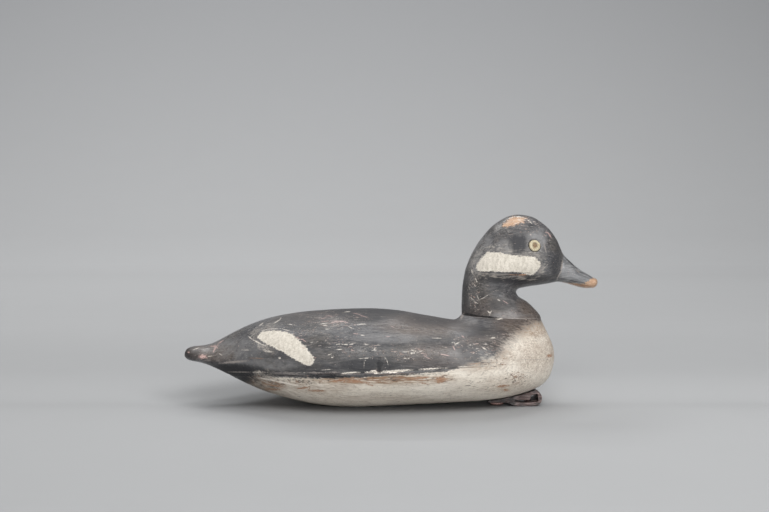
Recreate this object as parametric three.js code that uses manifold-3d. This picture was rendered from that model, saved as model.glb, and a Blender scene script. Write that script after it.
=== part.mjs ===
// A working bufflehead decoy: a two-piece wooden body, a head and neck carved with its bill,
// tack eyes and a leather loop for the anchor line. Millimetres, +Z up, bill towards +X.
// The origin is on the floor, under the middle of the length from tail tip to bill tip.
import * as THREE from "three";
import { mergeVertices } from "three/addons/utils/BufferGeometryUtils.js";
import Module from "manifold-3d";

const wasm = await Module();
wasm.setup();

// Overall sizes
const LENGTH = 280; // tail tip to bill tip
const GAP = 0.3; // open joint between two pieces
const SIT_SLOPE = 0.0489; // the loop under the breast lifts the body by 2.8 degrees

// Body: where its plain stretch ends and the rounded tail tip and breast begin
const TAIL_TIP = -LENGTH / 2;
const TAIL_ROUND = 15;
const BREAST_TIP = 110.5;
const BREAST_ROUND = 50;
const TAIL_START = TAIL_TIP + TAIL_ROUND;
const BREAST_START = BREAST_TIP - BREAST_ROUND;

// Seam between the one-inch lower board and the upper block, and the planed bottom
const REST_X = -30; // the decoy rests here, at the back edge of its planed bottom
const SEAM_HEIGHT = 25.4; // above the planed bottom
const BOTTOM_SINK = 0.5; // the worn spot that the body rests on is this deep

// Body curves along the length: [x, value]. Half width, height of the widest line, centre line
// of the back and of the underside, each before the ends are rounded.
const HALF_WIDTH = [
  [-140, 16], [-128, 17], [-118, 21], [-105, 29], [-90, 39], [-70, 50.3],
  [-40, 57.5], [-5, 60], [25, 59], [60, 53.5], [85, 46], [110, 36],
];
const WIDEST_AT = [
  [-140, 34.2], [-134, 32], [-125, 30.7], [-105, 30.7], [-85, 31.4], [0, 31.5],
  [60, 33], [90, 35], [110, 35],
];
const BACK_AT = [
  [-140, 40], [-130, 40.3], [-121, 42.2], [-107, 49.4], [-96, 54.6], [-85, 58.5],
  [-72, 61.6], [-50, 64.3], [-22, 65.6], [5, 64.3], [25, 60.9], [43, 58], [60, 56.8], [110, 56],
];
const UNDERSIDE_AT = [
  [-140, 30.6], [-128, 29], [-118, 25], [-107, 19.5], [-96, 14.2], [-85, 10], [-74, 6.8],
  [-63, 3.9], [-52, 1.5], [-42, 0.3], [-32, -0.3], [-20, -0.4], [0, 0.5], [25, 1.7], [45, 2.7],
  [60, 3.6], [74, 5.1], [87.5, 7.9], [94, 9.4], [101, 10.9], [110, 12],
];
// How full the cross-sections are: sharp-edged at the tail, round along the body
const EDGE_ABOVE = [[-140, 0.75], [-128, 1.25], [-112, 1.45], [-90, 1.1], [-60, 0.92], [110, 0.92]];
const EDGE_BELOW = [[-140, 0.9], [-128, 1.5], [-108, 1.6], [-90, 1.15], [-60, 0.86], [30, 0.8], [110, 0.78]];
const SIDE_FULLNESS = 0.9;

// Neck seat on the body, and the joint under the neck
const JOINT_BACK = { x: 47.9, z: 61.9 };
const JOINT_FRONT = { x: 101.9, z: 57.6 };
const NECK_HALF_WIDTH = 20;
const SEAT_FLARE = { back: 4, side: 16, front: 10 };
const SEAT_OVER = 0.3;

// Head: the back line over the crown to the bill tip, the front line under the chin to the
// same tip, and the half width, at stations from the joint (0) to the bill tip (1)
const HEAD_STATIONS = [
  { t: 0, back: [47.9, 61.9], front: [101.9, 57.6], half: 20, low: 0.02 },
  { t: 0.05, back: [47.8, 66], front: [100.6, 61.3], half: 19, low: 0.02 },
  { t: 0.1, back: [47.9, 71], front: [96.6, 66], half: 18, low: 0 },
  { t: 0.15, back: [48.1, 76.3], front: [91.6, 70.6], half: 17.6, low: 0 },
  { t: 0.2, back: [48.5, 81.6], front: [86.6, 73.6], half: 17.6, low: -0.02 },
  { t: 0.25, back: [49.4, 87.4], front: [84.9, 76.2], half: 18.1, low: -0.02 },
  { t: 0.3, back: [50.8, 93.6], front: [85.1, 77.8], half: 18.9, low: 0 },
  { t: 0.36, back: [54.5, 102.2], front: [86, 78.8], half: 19.9, low: 0.04 },
  { t: 0.42, back: [60.6, 112.2], front: [87.4, 79.5], half: 20.7, low: 0.08 },
  { t: 0.49, back: [69.8, 122.6], front: [90, 80], half: 21, low: 0.12 },
  { t: 0.56, back: [82, 128.8], front: [94, 80.7], half: 20.6, low: 0.16 },
  { t: 0.63, back: [94.7, 127.9], front: [99, 81.3], half: 19.2, low: 0.18 },
  { t: 0.7, back: [105.2, 121.2], front: [104.4, 82.2], half: 16.6, low: 0.18 },
  { t: 0.76, back: [112.1, 112.6], front: [109, 83.1], half: 13.4, low: 0.16 },
  { t: 0.81, back: [116.6, 102.7], front: [112.8, 83.7], half: 9.8, low: 0.14 },
  { t: 0.86, back: [122.2, 96.9], front: [117.8, 83], half: 8.4, low: 0.14 },
  { t: 0.91, back: [128.6, 91.6], front: [124.8, 81], half: 8, low: 0.12 },
  { t: 0.95, back: [133.2, 88.9], front: [130.8, 79.6], half: 8, low: 0.05 },
  { t: 1, back: [137.2, 86.4], front: [136.4, 79.5], half: 7.2, low: 0 },
];
const BILL_FROM = 0.81; // station of the carved line round the bill's base
const BILL_LINE = { width: 0.012, depth: 0.7 };
const BILL_SQUARENESS = 0.72;
const BILL_TIP_ROUND = 3.2;

// Eyes, nostrils, anchor line loop and its tack
const EYE = { x: 96.2, z: 108.4, radius: 3.9, dome: 1.2, sunk: 0.6 };
const NOSTRIL = { x: 126.2, z: 90.4, length: 4.4, width: 1.4, tilt: 0.62 };
const LOOP = { back: 65.5, front: 101.9, width: 18, foot: [85, 95.5], nose: 97 };
const STRAP = { lower: 2.5, upper: 2.9, bend: 2.8 };
const LINE_EYE = { back: 94.5, corner: 0.7, shoulder: 1.2, slit: 1.5 };
const TACK = { x: 71.9, radius: 4.5, dome: 2 };

// Mesh fineness
const AROUND_BODY = 48;
const AROUND_HEAD = 32;
const HEAD_RINGS = 42;

// Value of a table at x, on a smooth curve through its points that doesn't overshoot much.
function along(table, x) {
  const n = table.length;
  if (x <= table[0][0]) return table[0][1];
  if (x >= table[n - 1][0]) return table[n - 1][1];
  const i = table.findIndex((row) => row[0] > x) - 1;
  const slope = (k) => {
    const a = table[Math.max(k - 1, 0)];
    const b = table[Math.min(k + 1, n - 1)];
    return (b[1] - a[1]) / (b[0] - a[0]);
  };
  const [x0, y0] = table[i];
  const [x1, y1] = table[i + 1];
  const h = x1 - x0;
  const s = (x - x0) / h;
  return (
    y0 * (1 + 2 * s) * (1 - s) ** 2 +
    y1 * s * s * (3 - 2 * s) +
    h * (slope(i) * s * (1 - s) ** 2 - slope(i + 1) * s * s * (1 - s))
  );
}

// 1 along a plain stretch, falling to 0 at a rounded end; a higher power is blunter.
const rounded = (share, power) => Math.sqrt(Math.max(0, 1 - Math.max(0, share) ** power));

// Height above the floor of the planed bottom and of everything parallel to it
const bottomPlane = (x) => (x - REST_X) * SIT_SLOPE - BOTTOM_SINK;

// The body's sizes at x: half width, widest height, and rise and fall from there.
function bodySizes(x) {
  const tail = (TAIL_START - x) / TAIL_ROUND;
  const breast = (x - BREAST_START) / BREAST_ROUND;
  const widest = along(WIDEST_AT, x);
  return {
    half: along(HALF_WIDTH, x) * rounded(tail, 2) * rounded(breast, 2.2),
    widest,
    rise: (along(BACK_AT, x) - widest) * rounded(tail, 6) * rounded(breast, 2.6) ** 1.05,
    fall: (widest - along(UNDERSIDE_AT, x)) * rounded(tail, 4) * rounded(breast, 8),
  };
}

// Height of the joint plane, and how far (x, y) lies outside the neck's oval.
const jointSlope = (JOINT_FRONT.z - JOINT_BACK.z) / (JOINT_FRONT.x - JOINT_BACK.x);
const jointPlane = (x) => JOINT_BACK.z + (x - JOINT_BACK.x) * jointSlope;
const neckMiddle = (JOINT_BACK.x + JOINT_FRONT.x) / 2;
const neckHalfLength = (JOINT_FRONT.x - JOINT_BACK.x) / 2;

// Raises a point of the back to the neck seat, with a hollow flare round the neck's oval.
function seatHeight(x, y, z) {
  const u = (x - neckMiddle) / neckHalfLength;
  const v = y / NECK_HALF_WIDTH;
  const reach = Math.hypot(u, v);
  if (reach <= 1) return jointPlane(x) + SEAT_OVER;
  const end = u > 0 ? SEAT_FLARE.front : SEAT_FLARE.back;
  const share = Math.abs(u) / (Math.abs(u) + Math.abs(v));
  const flare = SEAT_FLARE.side + (end - SEAT_FLARE.side) * share ** 1.5;
  const outside = (1 - 1 / reach) * Math.hypot(x - neckMiddle, y);
  const hold = Math.max(0, 1 - outside / flare) ** 2;
  return z + Math.max(0, jointPlane(x) + SEAT_OVER - z) * hold;
}

// One closed cross-section of the body at x, from the middle of the back round to itself.
function bodyRing(x) {
  const size = bodySizes(x);
  const above = along(EDGE_ABOVE, x);
  const below = along(EDGE_BELOW, x);
  const onSeat = Math.abs(x - neckMiddle) < neckHalfLength;
  const oval = onSeat ? NECK_HALF_WIDTH * Math.sqrt(1 - ((x - neckMiddle) / neckHalfLength) ** 2) : 0;
  const quarter = AROUND_BODY / 4;
  const widths = [];
  for (let k = 0; k <= quarter; k++)
    widths.push(size.half * Math.sin((k / quarter) * (Math.PI / 2)) ** SIDE_FULLNESS);
  // On the seat one point of the section lies on the neck's oval, so that its edge is crisp.
  if (onSeat) {
    const miss = widths.map((w) => Math.abs(w - oval));
    const nearest = miss.indexOf(Math.min(...miss.slice(1, quarter)));
    widths[nearest] = oval;
  }
  const ring = [];
  for (let k = 0; k < AROUND_BODY; k++) {
    const turn = (-k / AROUND_BODY) * 2 * Math.PI;
    const fold = Math.min(k % (2 * quarter), 2 * quarter - (k % (2 * quarter)));
    const up = Math.cos(turn) > 1e-9;
    const width = up ? widths[fold] : size.half * Math.abs(Math.sin(turn)) ** SIDE_FULLNESS;
    const lean = size.half > 0 ? Math.min(1, width / size.half) ** (1 / SIDE_FULLNESS) : 0;
    const height = Math.sqrt(1 - lean * lean);
    const y = Math.sign(Math.sin(turn)) * width;
    const z = up ? size.widest + size.rise * height ** above : size.widest - size.fall * height ** below;
    ring.push(new THREE.Vector3(x, y, up ? seatHeight(x, y, z) : z));
  }
  return ring;
}

// A closed mesh through rings of equal count, with a point closing each end.
function loft(rings, first, last) {
  const around = rings[0].length;
  const points = [first, ...rings.flat(), last];
  const index = [];
  const at = (ring, k) => 1 + ring * around + (k % around);
  for (let k = 0; k < around; k++) {
    index.push(0, at(0, k + 1), at(0, k));
    for (let r = 0; r + 1 < rings.length; r++) {
      index.push(at(r, k), at(r, k + 1), at(r + 1, k + 1));
      index.push(at(r, k), at(r + 1, k + 1), at(r + 1, k));
    }
    index.push(points.length - 1, at(rings.length - 1, k), at(rings.length - 1, k + 1));
  }
  const geometry = new THREE.BufferGeometry().setFromPoints(points);
  geometry.setIndex(index);
  return geometry;
}

// Solids for cutting and joining, and back to a geometry for display.
function solidOf(geometry) {
  const bare = geometry.clone();
  bare.deleteAttribute("normal");
  bare.deleteAttribute("uv");
  const merged = mergeVertices(bare, 1e-4);
  const solid = new wasm.Manifold(
    new wasm.Mesh({
      numProp: 3,
      vertProperties: new Float32Array(merged.attributes.position.array),
      triVerts: new Uint32Array(merged.index.array),
    }),
  );
  return solid;
}

function geometryOf(solid) {
  const mesh = solid.getMesh();
  const geometry = new THREE.BufferGeometry();
  geometry.setAttribute("position", new THREE.BufferAttribute(mesh.vertProperties, 3));
  geometry.setIndex(new THREE.BufferAttribute(mesh.triVerts, 1));
  const faceted = geometry.toNonIndexed();
  faceted.computeVertexNormals();
  return faceted;
}

// A block that fills everything above (side 1) or below (side -1) a plane sloping along x.
function block(heightAt0, slope, side, fromX = -200, toX = 200) {
  const deep = 200;
  const shape = new THREE.Shape([
    new THREE.Vector2(fromX, heightAt0 + slope * fromX),
    new THREE.Vector2(toX, heightAt0 + slope * toX),
    new THREE.Vector2(toX, heightAt0 + slope * toX + side * deep),
    new THREE.Vector2(fromX, heightAt0 + slope * fromX + side * deep),
  ]);
  return solidOf(standUp(new THREE.ExtrudeGeometry(shape, { depth: 200, bevelEnabled: false })));
}

// Turns an extrusion of an (x, z) outline so that it is centred on the middle plane.
function standUp(geometry) {
  geometry.computeBoundingBox();
  const depth = geometry.boundingBox.max.z - geometry.boundingBox.min.z;
  return geometry.translate(0, 0, -depth / 2).rotateX(Math.PI / 2);
}

// The whole body before it is parted, with rings close together where it turns quickly
function bodySolid() {
  const xs = [];
  for (let i = 6; i > 0; i--) xs.push(TAIL_START - TAIL_ROUND * Math.sin((i / 7) * (Math.PI / 2)));
  for (let x = TAIL_START; x < 42; x += 7.3) xs.push(x);
  xs.push(42.4, 45, JOINT_BACK.x, 51.5, 55.5);
  const joint = Math.asin((JOINT_FRONT.x - BREAST_START) / BREAST_ROUND);
  for (let i = 0; i <= 8; i++) xs.push(BREAST_START + BREAST_ROUND * Math.sin((joint * i) / 8));
  for (let i = 1; i <= 4; i++)
    xs.push(BREAST_START + BREAST_ROUND * Math.sin(joint + ((Math.PI / 2 - joint) * i) / 5));
  const ends = [TAIL_TIP, BREAST_TIP].map((x) => new THREE.Vector3(x, 0, along(WIDEST_AT, x)));
  return solidOf(loft(xs.map(bodyRing), ...ends));
}

// The upper block carries the tail and the neck seat.
function bodyUpper(whole) {
  const seam = bottomPlane(0) + SEAM_HEIGHT + GAP / 2;
  return whole
    .subtract(block(seam, SIT_SLOPE, -1))
    .subtract(block(jointPlane(0) - GAP, jointSlope, 1, 40, 130));
}

// The lower board is planed flat underneath, with a small worn spot where it rests.
function bodyLower(whole) {
  return whole
    .subtract(block(bottomPlane(0) + SEAM_HEIGHT - GAP / 2, SIT_SLOPE, 1))
    .subtract(block(bottomPlane(0), SIT_SLOPE, -1))
    .subtract(block(0, 0, -1));
}

// Sizes of the head at station t, from the joint to the bill tip.
function headSizes(t) {
  const read = (pick) => along(HEAD_STATIONS.map((s) => [s.t, pick(s)]), t);
  const line = BILL_LINE.depth * Math.exp(-(((t - BILL_FROM) / BILL_LINE.width) ** 2));
  return {
    back: new THREE.Vector3(read((s) => s.back[0]), 0, read((s) => s.back[1])),
    front: new THREE.Vector3(read((s) => s.front[0]), 0, read((s) => s.front[1])),
    half: read((s) => s.half) - line,
    low: read((s) => s.low),
    square: t < BILL_FROM ? 1 : BILL_SQUARENESS,
  };
}

// A point of the head: turn 0 is on the back line and half a turn is on the front line.
function headPoint(t, turn, shrink = 1) {
  const size = headSizes(t);
  const middle = size.back.clone().add(size.front).multiplyScalar(0.5);
  const reach = size.back.clone().sub(middle).multiplyScalar(shrink);
  const side = Math.sin(turn);
  const y = size.half * shrink * Math.sign(side) * Math.abs(side) ** size.square * (1 - size.low * Math.cos(turn));
  return middle.addScaledVector(reach, Math.cos(turn)).setY(y);
}

function headRing(t, shrink = 1, ahead = 0) {
  const ring = [];
  for (let k = 0; k < AROUND_HEAD; k++) {
    const point = headPoint(t, (-k / AROUND_HEAD) * 2 * Math.PI, shrink);
    ring.push(point.add(new THREE.Vector3(ahead, 0, 0)));
  }
  return ring;
}

// The point of the head's side at (x, z), with the direction that its surface faces there.
function onHead(x, z) {
  let best = { t: 0.6, turn: 1.5, miss: Infinity };
  for (let step = 0.3; step > 1e-4; step /= 3) {
    const { t: t0, turn: turn0 } = best;
    best.miss = Infinity;
    for (let i = -6; i <= 6; i++)
      for (let j = -6; j <= 6; j++) {
        const t = THREE.MathUtils.clamp(t0 + (i / 6) * step, 0.01, 0.99);
        const turn = THREE.MathUtils.clamp(turn0 + (j / 6) * step * 4, 0.02, 3.12);
        const p = headPoint(t, turn);
        const miss = Math.hypot(p.x - x, p.z - z);
        if (miss < best.miss) best = { t, turn, miss };
      }
  }
  const d = 0.004;
  const point = headPoint(best.t, best.turn);
  const across = headPoint(best.t + d, best.turn).sub(headPoint(best.t - d, best.turn));
  const round = headPoint(best.t, best.turn + d).sub(headPoint(best.t, best.turn - d));
  const facing = across.cross(round).normalize();
  if (facing.y < 0) facing.negate();
  return { point, facing };
}

// Places a geometry whose axis is +Y so that it faces out of the head at a spot, on one side.
function setOnHead(geometry, spot, side, raise) {
  const facing = spot.facing.clone().setY(spot.facing.y * side);
  const point = spot.point.clone().setY(spot.point.y * side).addScaledVector(facing, raise);
  const turn = new THREE.Quaternion().setFromUnitVectors(new THREE.Vector3(0, 1, 0), facing);
  return geometry.applyQuaternion(turn).translate(point.x, point.y, point.z);
}

// Head, neck and bill in one, with a shallow seat for each eye and a cut for each nostril
function headSolid() {
  const rings = [];
  for (let i = 0; i < HEAD_RINGS; i++) rings.push(headRing(i / (HEAD_RINGS - 1)));
  // The bill tip is rounded over in a few shrinking rings.
  for (const angle of [30, 55, 75]) {
    const a = THREE.MathUtils.degToRad(angle);
    rings.push(headRing(1, Math.cos(a), BILL_TIP_ROUND * Math.sin(a)));
  }
  const middleOf = (t) => headPoint(t, 0).add(headPoint(t, Math.PI)).multiplyScalar(0.5);
  const tip = middleOf(1).add(new THREE.Vector3(BILL_TIP_ROUND, 0, 0));
  let head = solidOf(loft(rings, middleOf(0), tip));
  for (const side of [1, -1]) {
    const seat = new THREE.CylinderGeometry(EYE.radius + GAP, EYE.radius + GAP, 6, 24);
    seat.translate(0, 3, 0);
    head = head.subtract(solidOf(setOnHead(seat, onHead(EYE.x, EYE.z), side, -EYE.sunk - GAP)));
    const cut = new THREE.SphereGeometry(0.5, 12, 8);
    cut.scale(NOSTRIL.length, NOSTRIL.width, NOSTRIL.width).rotateY(NOSTRIL.tilt);
    const spot = onHead(NOSTRIL.x, NOSTRIL.z);
    head = head.subtract(solidOf(cut.translate(spot.point.x, spot.point.y * side, spot.point.z)));
  }
  return head;
}

// A round tack head, domed outwards along +Y from a flat back at 0
function tackHead(radius, dome) {
  const outline = [new THREE.Vector2(0, 0), new THREE.Vector2(radius, 0)];
  const steps = 5;
  for (let i = 0; i <= steps; i++) {
    const a = ((i / steps) * Math.PI) / 2;
    outline.push(new THREE.Vector2(radius * Math.cos(a), dome * (0.3 + 0.7 * Math.sin(a))));
  }
  outline[outline.length - 1].x = 0;
  return new THREE.LatheGeometry(outline, 24);
}

function eyeGeometry(side) {
  return setOnHead(tackHead(EYE.radius, EYE.dome), onHead(EYE.x, EYE.z), side, -EYE.sunk);
}

// The leather strap: both ends under the tack, a narrow slit, and an eye for the line at the bend.
// It lies along the underside and droops to the floor under the breast.
function loopGeometry() {
  const under = (x) => {
    const size = bodySizes(x);
    return Math.max(size.widest - size.fall, bottomPlane(x)) - GAP;
  };
  const [footFrom, footTo] = LOOP.foot;
  const tackTop = TACK.dome + GAP;
  const tackEdge = TACK.x + TACK.radius;
  const outer = new THREE.Shape();
  outer.moveTo(LOOP.back, tackTop);
  outer.lineTo(tackEdge, tackTop);
  outer.bezierCurveTo(footFrom - 5, tackTop, footFrom - 4, 0, footFrom, 0);
  outer.lineTo(footTo, 0);
  outer.bezierCurveTo(LOOP.front - 2, 0.2, LOOP.front, 2.2, LOOP.front, 5);
  outer.bezierCurveTo(LOOP.front, 8, LOOP.nose + 2.5, under(LOOP.nose), LOOP.nose, under(LOOP.nose));
  for (let x = LOOP.nose - 4; x > LOOP.back; x -= 5) outer.lineTo(x, under(x));
  outer.lineTo(LOOP.back, under(LOOP.back));
  // The slit between the two layers, and the eye that it widens to
  const slit = { x: tackEdge + 3.5, z: tackTop + 1.5 };
  const { back, corner, shoulder } = LINE_EYE;
  const bend = LOOP.front - STRAP.bend;
  const roof = (x) => under(x) - STRAP.upper;
  const floor = STRAP.lower;
  const hole = new THREE.Path();
  hole.moveTo(slit.x, slit.z);
  hole.bezierCurveTo(footFrom - 1, slit.z - 0.3, footFrom + 1, floor, footFrom + 5, floor);
  hole.lineTo(bend - corner, floor);
  hole.quadraticCurveTo(bend, floor, bend, floor + corner);
  hole.lineTo(bend, roof(bend - shoulder) - shoulder);
  hole.quadraticCurveTo(bend, roof(bend - shoulder), bend - shoulder, roof(bend - shoulder));
  hole.lineTo(back, roof(back));
  hole.quadraticCurveTo(back - 0.4, floor + LINE_EYE.slit, back - 2, floor + LINE_EYE.slit);
  hole.bezierCurveTo(footFrom + 3, slit.z, slit.x + 3, slit.z + 0.3, slit.x, slit.z);
  outer.holes.push(hole);
  const made = new THREE.ExtrudeGeometry(outer, { depth: LOOP.width, bevelEnabled: false, curveSegments: 5 });
  return standUp(made);
}

function loopTackGeometry() {
  return tackHead(TACK.radius, TACK.dome).rotateX(-Math.PI / 2).translate(TACK.x, 0, TACK.dome);
}

// Finishes
const finishes = {
  blackPaint: new THREE.MeshStandardMaterial({ color: 0x34353a, roughness: 0.6, metalness: 0 }),
  whitePaint: new THREE.MeshStandardMaterial({ color: 0xb8b2a6, roughness: 0.7, metalness: 0 }),
  eyePaint: new THREE.MeshStandardMaterial({ color: 0xcdbf93, roughness: 0.5, metalness: 0 }),
  leather: new THREE.MeshStandardMaterial({ color: 0x2b2522, roughness: 0.75, metalness: 0 }),
  rustyIron: new THREE.MeshStandardMaterial({ color: 0x5c3f38, roughness: 0.7, metalness: 0.4 }),
};

const decoy = new THREE.Group();
function add(name, geometry, finish) {
  const mesh = new THREE.Mesh(geometry, finish);
  mesh.name = name;
  decoy.add(mesh);
}

const wholeBody = bodySolid();
add("body_upper", geometryOf(bodyUpper(wholeBody)), finishes.blackPaint);
add("body_lower", geometryOf(bodyLower(wholeBody)), finishes.whitePaint);
add("head", geometryOf(headSolid()), finishes.blackPaint);
add("eye_tack_left", eyeGeometry(1), finishes.eyePaint);
add("eye_tack_right", eyeGeometry(-1), finishes.eyePaint);
add("line_loop", loopGeometry(), finishes.leather);
add("loop_tack", loopTackGeometry(), finishes.rustyIron);

export default decoy;
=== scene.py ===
import math
from functools import partial

import bpy
import numpy as np
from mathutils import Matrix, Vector
from mathutils.geometry import tessellate_polygon


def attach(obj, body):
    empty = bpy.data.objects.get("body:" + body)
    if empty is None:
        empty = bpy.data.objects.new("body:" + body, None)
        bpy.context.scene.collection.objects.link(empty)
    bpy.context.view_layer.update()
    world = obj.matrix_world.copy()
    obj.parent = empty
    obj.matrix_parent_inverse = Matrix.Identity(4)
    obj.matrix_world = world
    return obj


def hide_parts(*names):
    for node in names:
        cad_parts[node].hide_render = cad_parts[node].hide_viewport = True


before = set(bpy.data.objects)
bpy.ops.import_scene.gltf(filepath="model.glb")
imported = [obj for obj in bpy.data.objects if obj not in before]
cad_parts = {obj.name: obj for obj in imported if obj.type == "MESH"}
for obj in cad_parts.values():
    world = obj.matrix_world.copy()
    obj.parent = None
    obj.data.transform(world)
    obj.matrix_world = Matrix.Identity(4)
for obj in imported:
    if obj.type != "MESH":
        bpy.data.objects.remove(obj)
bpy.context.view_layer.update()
MM = 0.001

# Body sizes, shared with the solid
GAP = 0.3
SIT_SLOPE = 0.0489
TAIL_TIP = -140.0
TAIL_ROUND = 15.0
TAIL_START = TAIL_TIP + TAIL_ROUND
BREAST_TIP = 110.5
BREAST_ROUND = 50.0
BREAST_START = BREAST_TIP - BREAST_ROUND
REST_X = -30.0
SEAM_HEIGHT = 25.4
BOTTOM_SINK = 0.5
SIDE_FULLNESS = 0.9
HALF_WIDTH = [
    (-140, 16), (-128, 17), (-118, 21), (-105, 29), (-90, 39), (-70, 50.3),
    (-40, 57.5), (-5, 60), (25, 59), (60, 53.5), (85, 46), (110, 36),
]
WIDEST_AT = [
    (-140, 34.2), (-134, 32), (-125, 30.7), (-105, 30.7), (-85, 31.4), (0, 31.5),
    (60, 33), (90, 35), (110, 35),
]
BACK_AT = [
    (-140, 40), (-130, 40.3), (-121, 42.2), (-107, 49.4), (-96, 54.6), (-85, 58.5),
    (-72, 61.6), (-50, 64.3), (-22, 65.6), (5, 64.3), (25, 60.9), (43, 58), (60, 56.8), (110, 56),
]
UNDERSIDE_AT = [
    (-140, 30.6), (-128, 29), (-118, 25), (-107, 19.5), (-96, 14.2), (-85, 10), (-74, 6.8),
    (-63, 3.9), (-52, 1.5), (-42, 0.3), (-32, -0.3), (-20, -0.4), (0, 0.5), (25, 1.7), (45, 2.7),
    (60, 3.6), (74, 5.1), (87.5, 7.9), (94, 9.4), (101, 10.9), (110, 12),
]
EDGE_ABOVE = [(-140, 0.75), (-128, 1.25), (-112, 1.45), (-90, 1.1), (-60, 0.92), (110, 0.92)]
EDGE_BELOW = [
    (-140, 0.9), (-128, 1.5), (-108, 1.6), (-90, 1.15), (-60, 0.86), (30, 0.8), (110, 0.78),
]

# Neck seat and joint
JOINT_BACK = (47.9, 61.9)
JOINT_FRONT = (101.9, 57.6)
NECK_HALF_WIDTH = 20.0
SEAT_FLARE = {"back": 4.0, "side": 16.0, "front": 10.0}
SEAT_OVER = 0.3

# Head: station, back line, front line, half width, how much fuller the lower half is
HEAD_STATIONS = [
    (0, 47.9, 61.9, 101.9, 57.6, 20, 0.02),
    (0.05, 47.8, 66, 100.6, 61.3, 19, 0.02),
    (0.1, 47.9, 71, 96.6, 66, 18, 0),
    (0.15, 48.1, 76.3, 91.6, 70.6, 17.6, 0),
    (0.2, 48.5, 81.6, 86.6, 73.6, 17.6, -0.02),
    (0.25, 49.4, 87.4, 84.9, 76.2, 18.1, -0.02),
    (0.3, 50.8, 93.6, 85.1, 77.8, 18.9, 0),
    (0.36, 54.5, 102.2, 86, 78.8, 19.9, 0.04),
    (0.42, 60.6, 112.2, 87.4, 79.5, 20.7, 0.08),
    (0.49, 69.8, 122.6, 90, 80, 21, 0.12),
    (0.56, 82, 128.8, 94, 80.7, 20.6, 0.16),
    (0.63, 94.7, 127.9, 99, 81.3, 19.2, 0.18),
    (0.7, 105.2, 121.2, 104.4, 82.2, 16.6, 0.18),
    (0.76, 112.1, 112.6, 109, 83.1, 13.4, 0.16),
    (0.81, 116.6, 102.7, 112.8, 83.7, 9.8, 0.14),
    (0.86, 122.2, 96.9, 117.8, 83, 8.4, 0.14),
    (0.91, 128.6, 91.6, 124.8, 81, 8, 0.12),
    (0.95, 133.2, 88.9, 130.8, 79.6, 8, 0.05),
    (1, 137.2, 86.4, 136.4, 79.5, 7.2, 0),
]
BILL_FROM = 0.81
BILL_LINE = {"width": 0.012, "depth": 0.7}
BILL_SQUARENESS = 0.72
BILL_TIP_ROUND = 3.2
EYE = {"x": 96.2, "z": 108.4, "radius": 3.9, "dome": 1.2, "sunk": 0.6}
NOSTRIL = {"x": 126.2, "z": 90.4, "length": 4.4, "width": 1.4, "tilt": 0.62}
LOOP = {"back": 65.5, "front": 101.9, "width": 18, "foot": (85, 95.5), "nose": 97}
STRAP = {"lower": 2.5, "upper": 2.9, "bend": 2.8}
LINE_EYE = {"back": 94.5, "corner": 0.7, "shoulder": 1.2, "slit": 1.5}
TACK = {"x": 71.9, "radius": 4.5, "dome": 2}

# Where the picture was taken from, level with the decoy's shoulder
VIEW = {"aim": (-4.48, 0, 101.2), "distance": 1400.0, "rise": 0.5, "lens": 96.58}

# Painted areas as outlines seen from the side: lengthwise place and height
WING = [
    (-91.3, 46.8), (-87.4, 50), (-81.6, 50.7), (-74.4, 50.4), (-68.6, 48.7), (-63.4, 44.9),
    (-58.8, 40.3), (-54.3, 35.1), (-52, 30.5), (-53.7, 27), (-57.5, 27), (-62.1, 29.2),
    (-67.9, 32.5), (-73.2, 35.8), (-78.3, 38.3), (-84.8, 41.6), (-90, 44.9),
]
CHEEK = [
    (57.5, 93), (58.4, 96.2), (62.4, 101.4), (65.6, 104), (72.7, 103.6), (79.2, 102.3), (87, 101),
    (97.4, 100.7), (100.6, 97.5), (101.3, 94.3), (98.7, 90.1), (95.4, 88.4), (85.7, 90.1),
    (75.9, 90.3), (59.1, 91),
]
BELLY = [
    (104.4, 60.5), (101.7, 57.1), (93.6, 54.4), (88.2, 49.6), (82.7, 45.5), (76.6, 38.7),
    (75.9, 36), (65.1, 30.6), (53.5, 26.5), (43.4, 24.2), (33.2, 22.2), (19.6, 21.2), (6, 20.5),
    (-13, 19.2), (-32, 18.4), (-55, 18.1), (-75.4, 18.8), (-89, 19.4), (-92, 17), (-95, 13.5),
    (-97, 9), (-99, 4), (-101, -23.7), (141.8, -23.7), (141.8, 60.5),
]
BILL = [
    (116.7, 103.2), (117, 97.8), (115.3, 91.7), (112.6, 85.6), (111.9, 76.7), (155.3, 76.7),
    (155.3, 103.2),
]
RETOUCH = [
    (81.4, 114.1), (84.1, 115.8), (89.5, 115.4), (92.2, 112.7), (92.2, 105.3), (88.8, 102.5),
    (82.7, 103.2), (81.4, 107.3),
]

# Painted shade under the tail and its chine, darker than the black paint there
UNDER_TAIL = [
    (-127, 29.9), (-116.8, 27.8), (-100.5, 26.5), (-87.6, 24.2), (-77.4, 22.7), (-86.3, 20.6),
    (-92.4, 13.6), (-102.5, 13), (-112.7, 18.4), (-124.3, 25.9),
]

# Worn places down to bare wood, as outlines
BARE_WOOD = [
    [(75.5, 121.6), (76.4, 123.2), (78.6, 124.4), (79.8, 126.4), (82, 127.6), (85.4, 128),
     (88, 127.4), (91.6, 127), (90.2, 125.6), (91, 124), (87.5, 123.6), (84.8, 122.6),
     (81.4, 121.4), (78, 120.6)],
    [(122, 82.6), (128, 82.2), (133, 83), (135.4, 84.6), (137, 86.4), (138.6, 85.6), (141.8, 85.6),
     (141.8, 79), (135, 79.2), (128, 80.1), (122, 81.4)],
]

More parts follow.
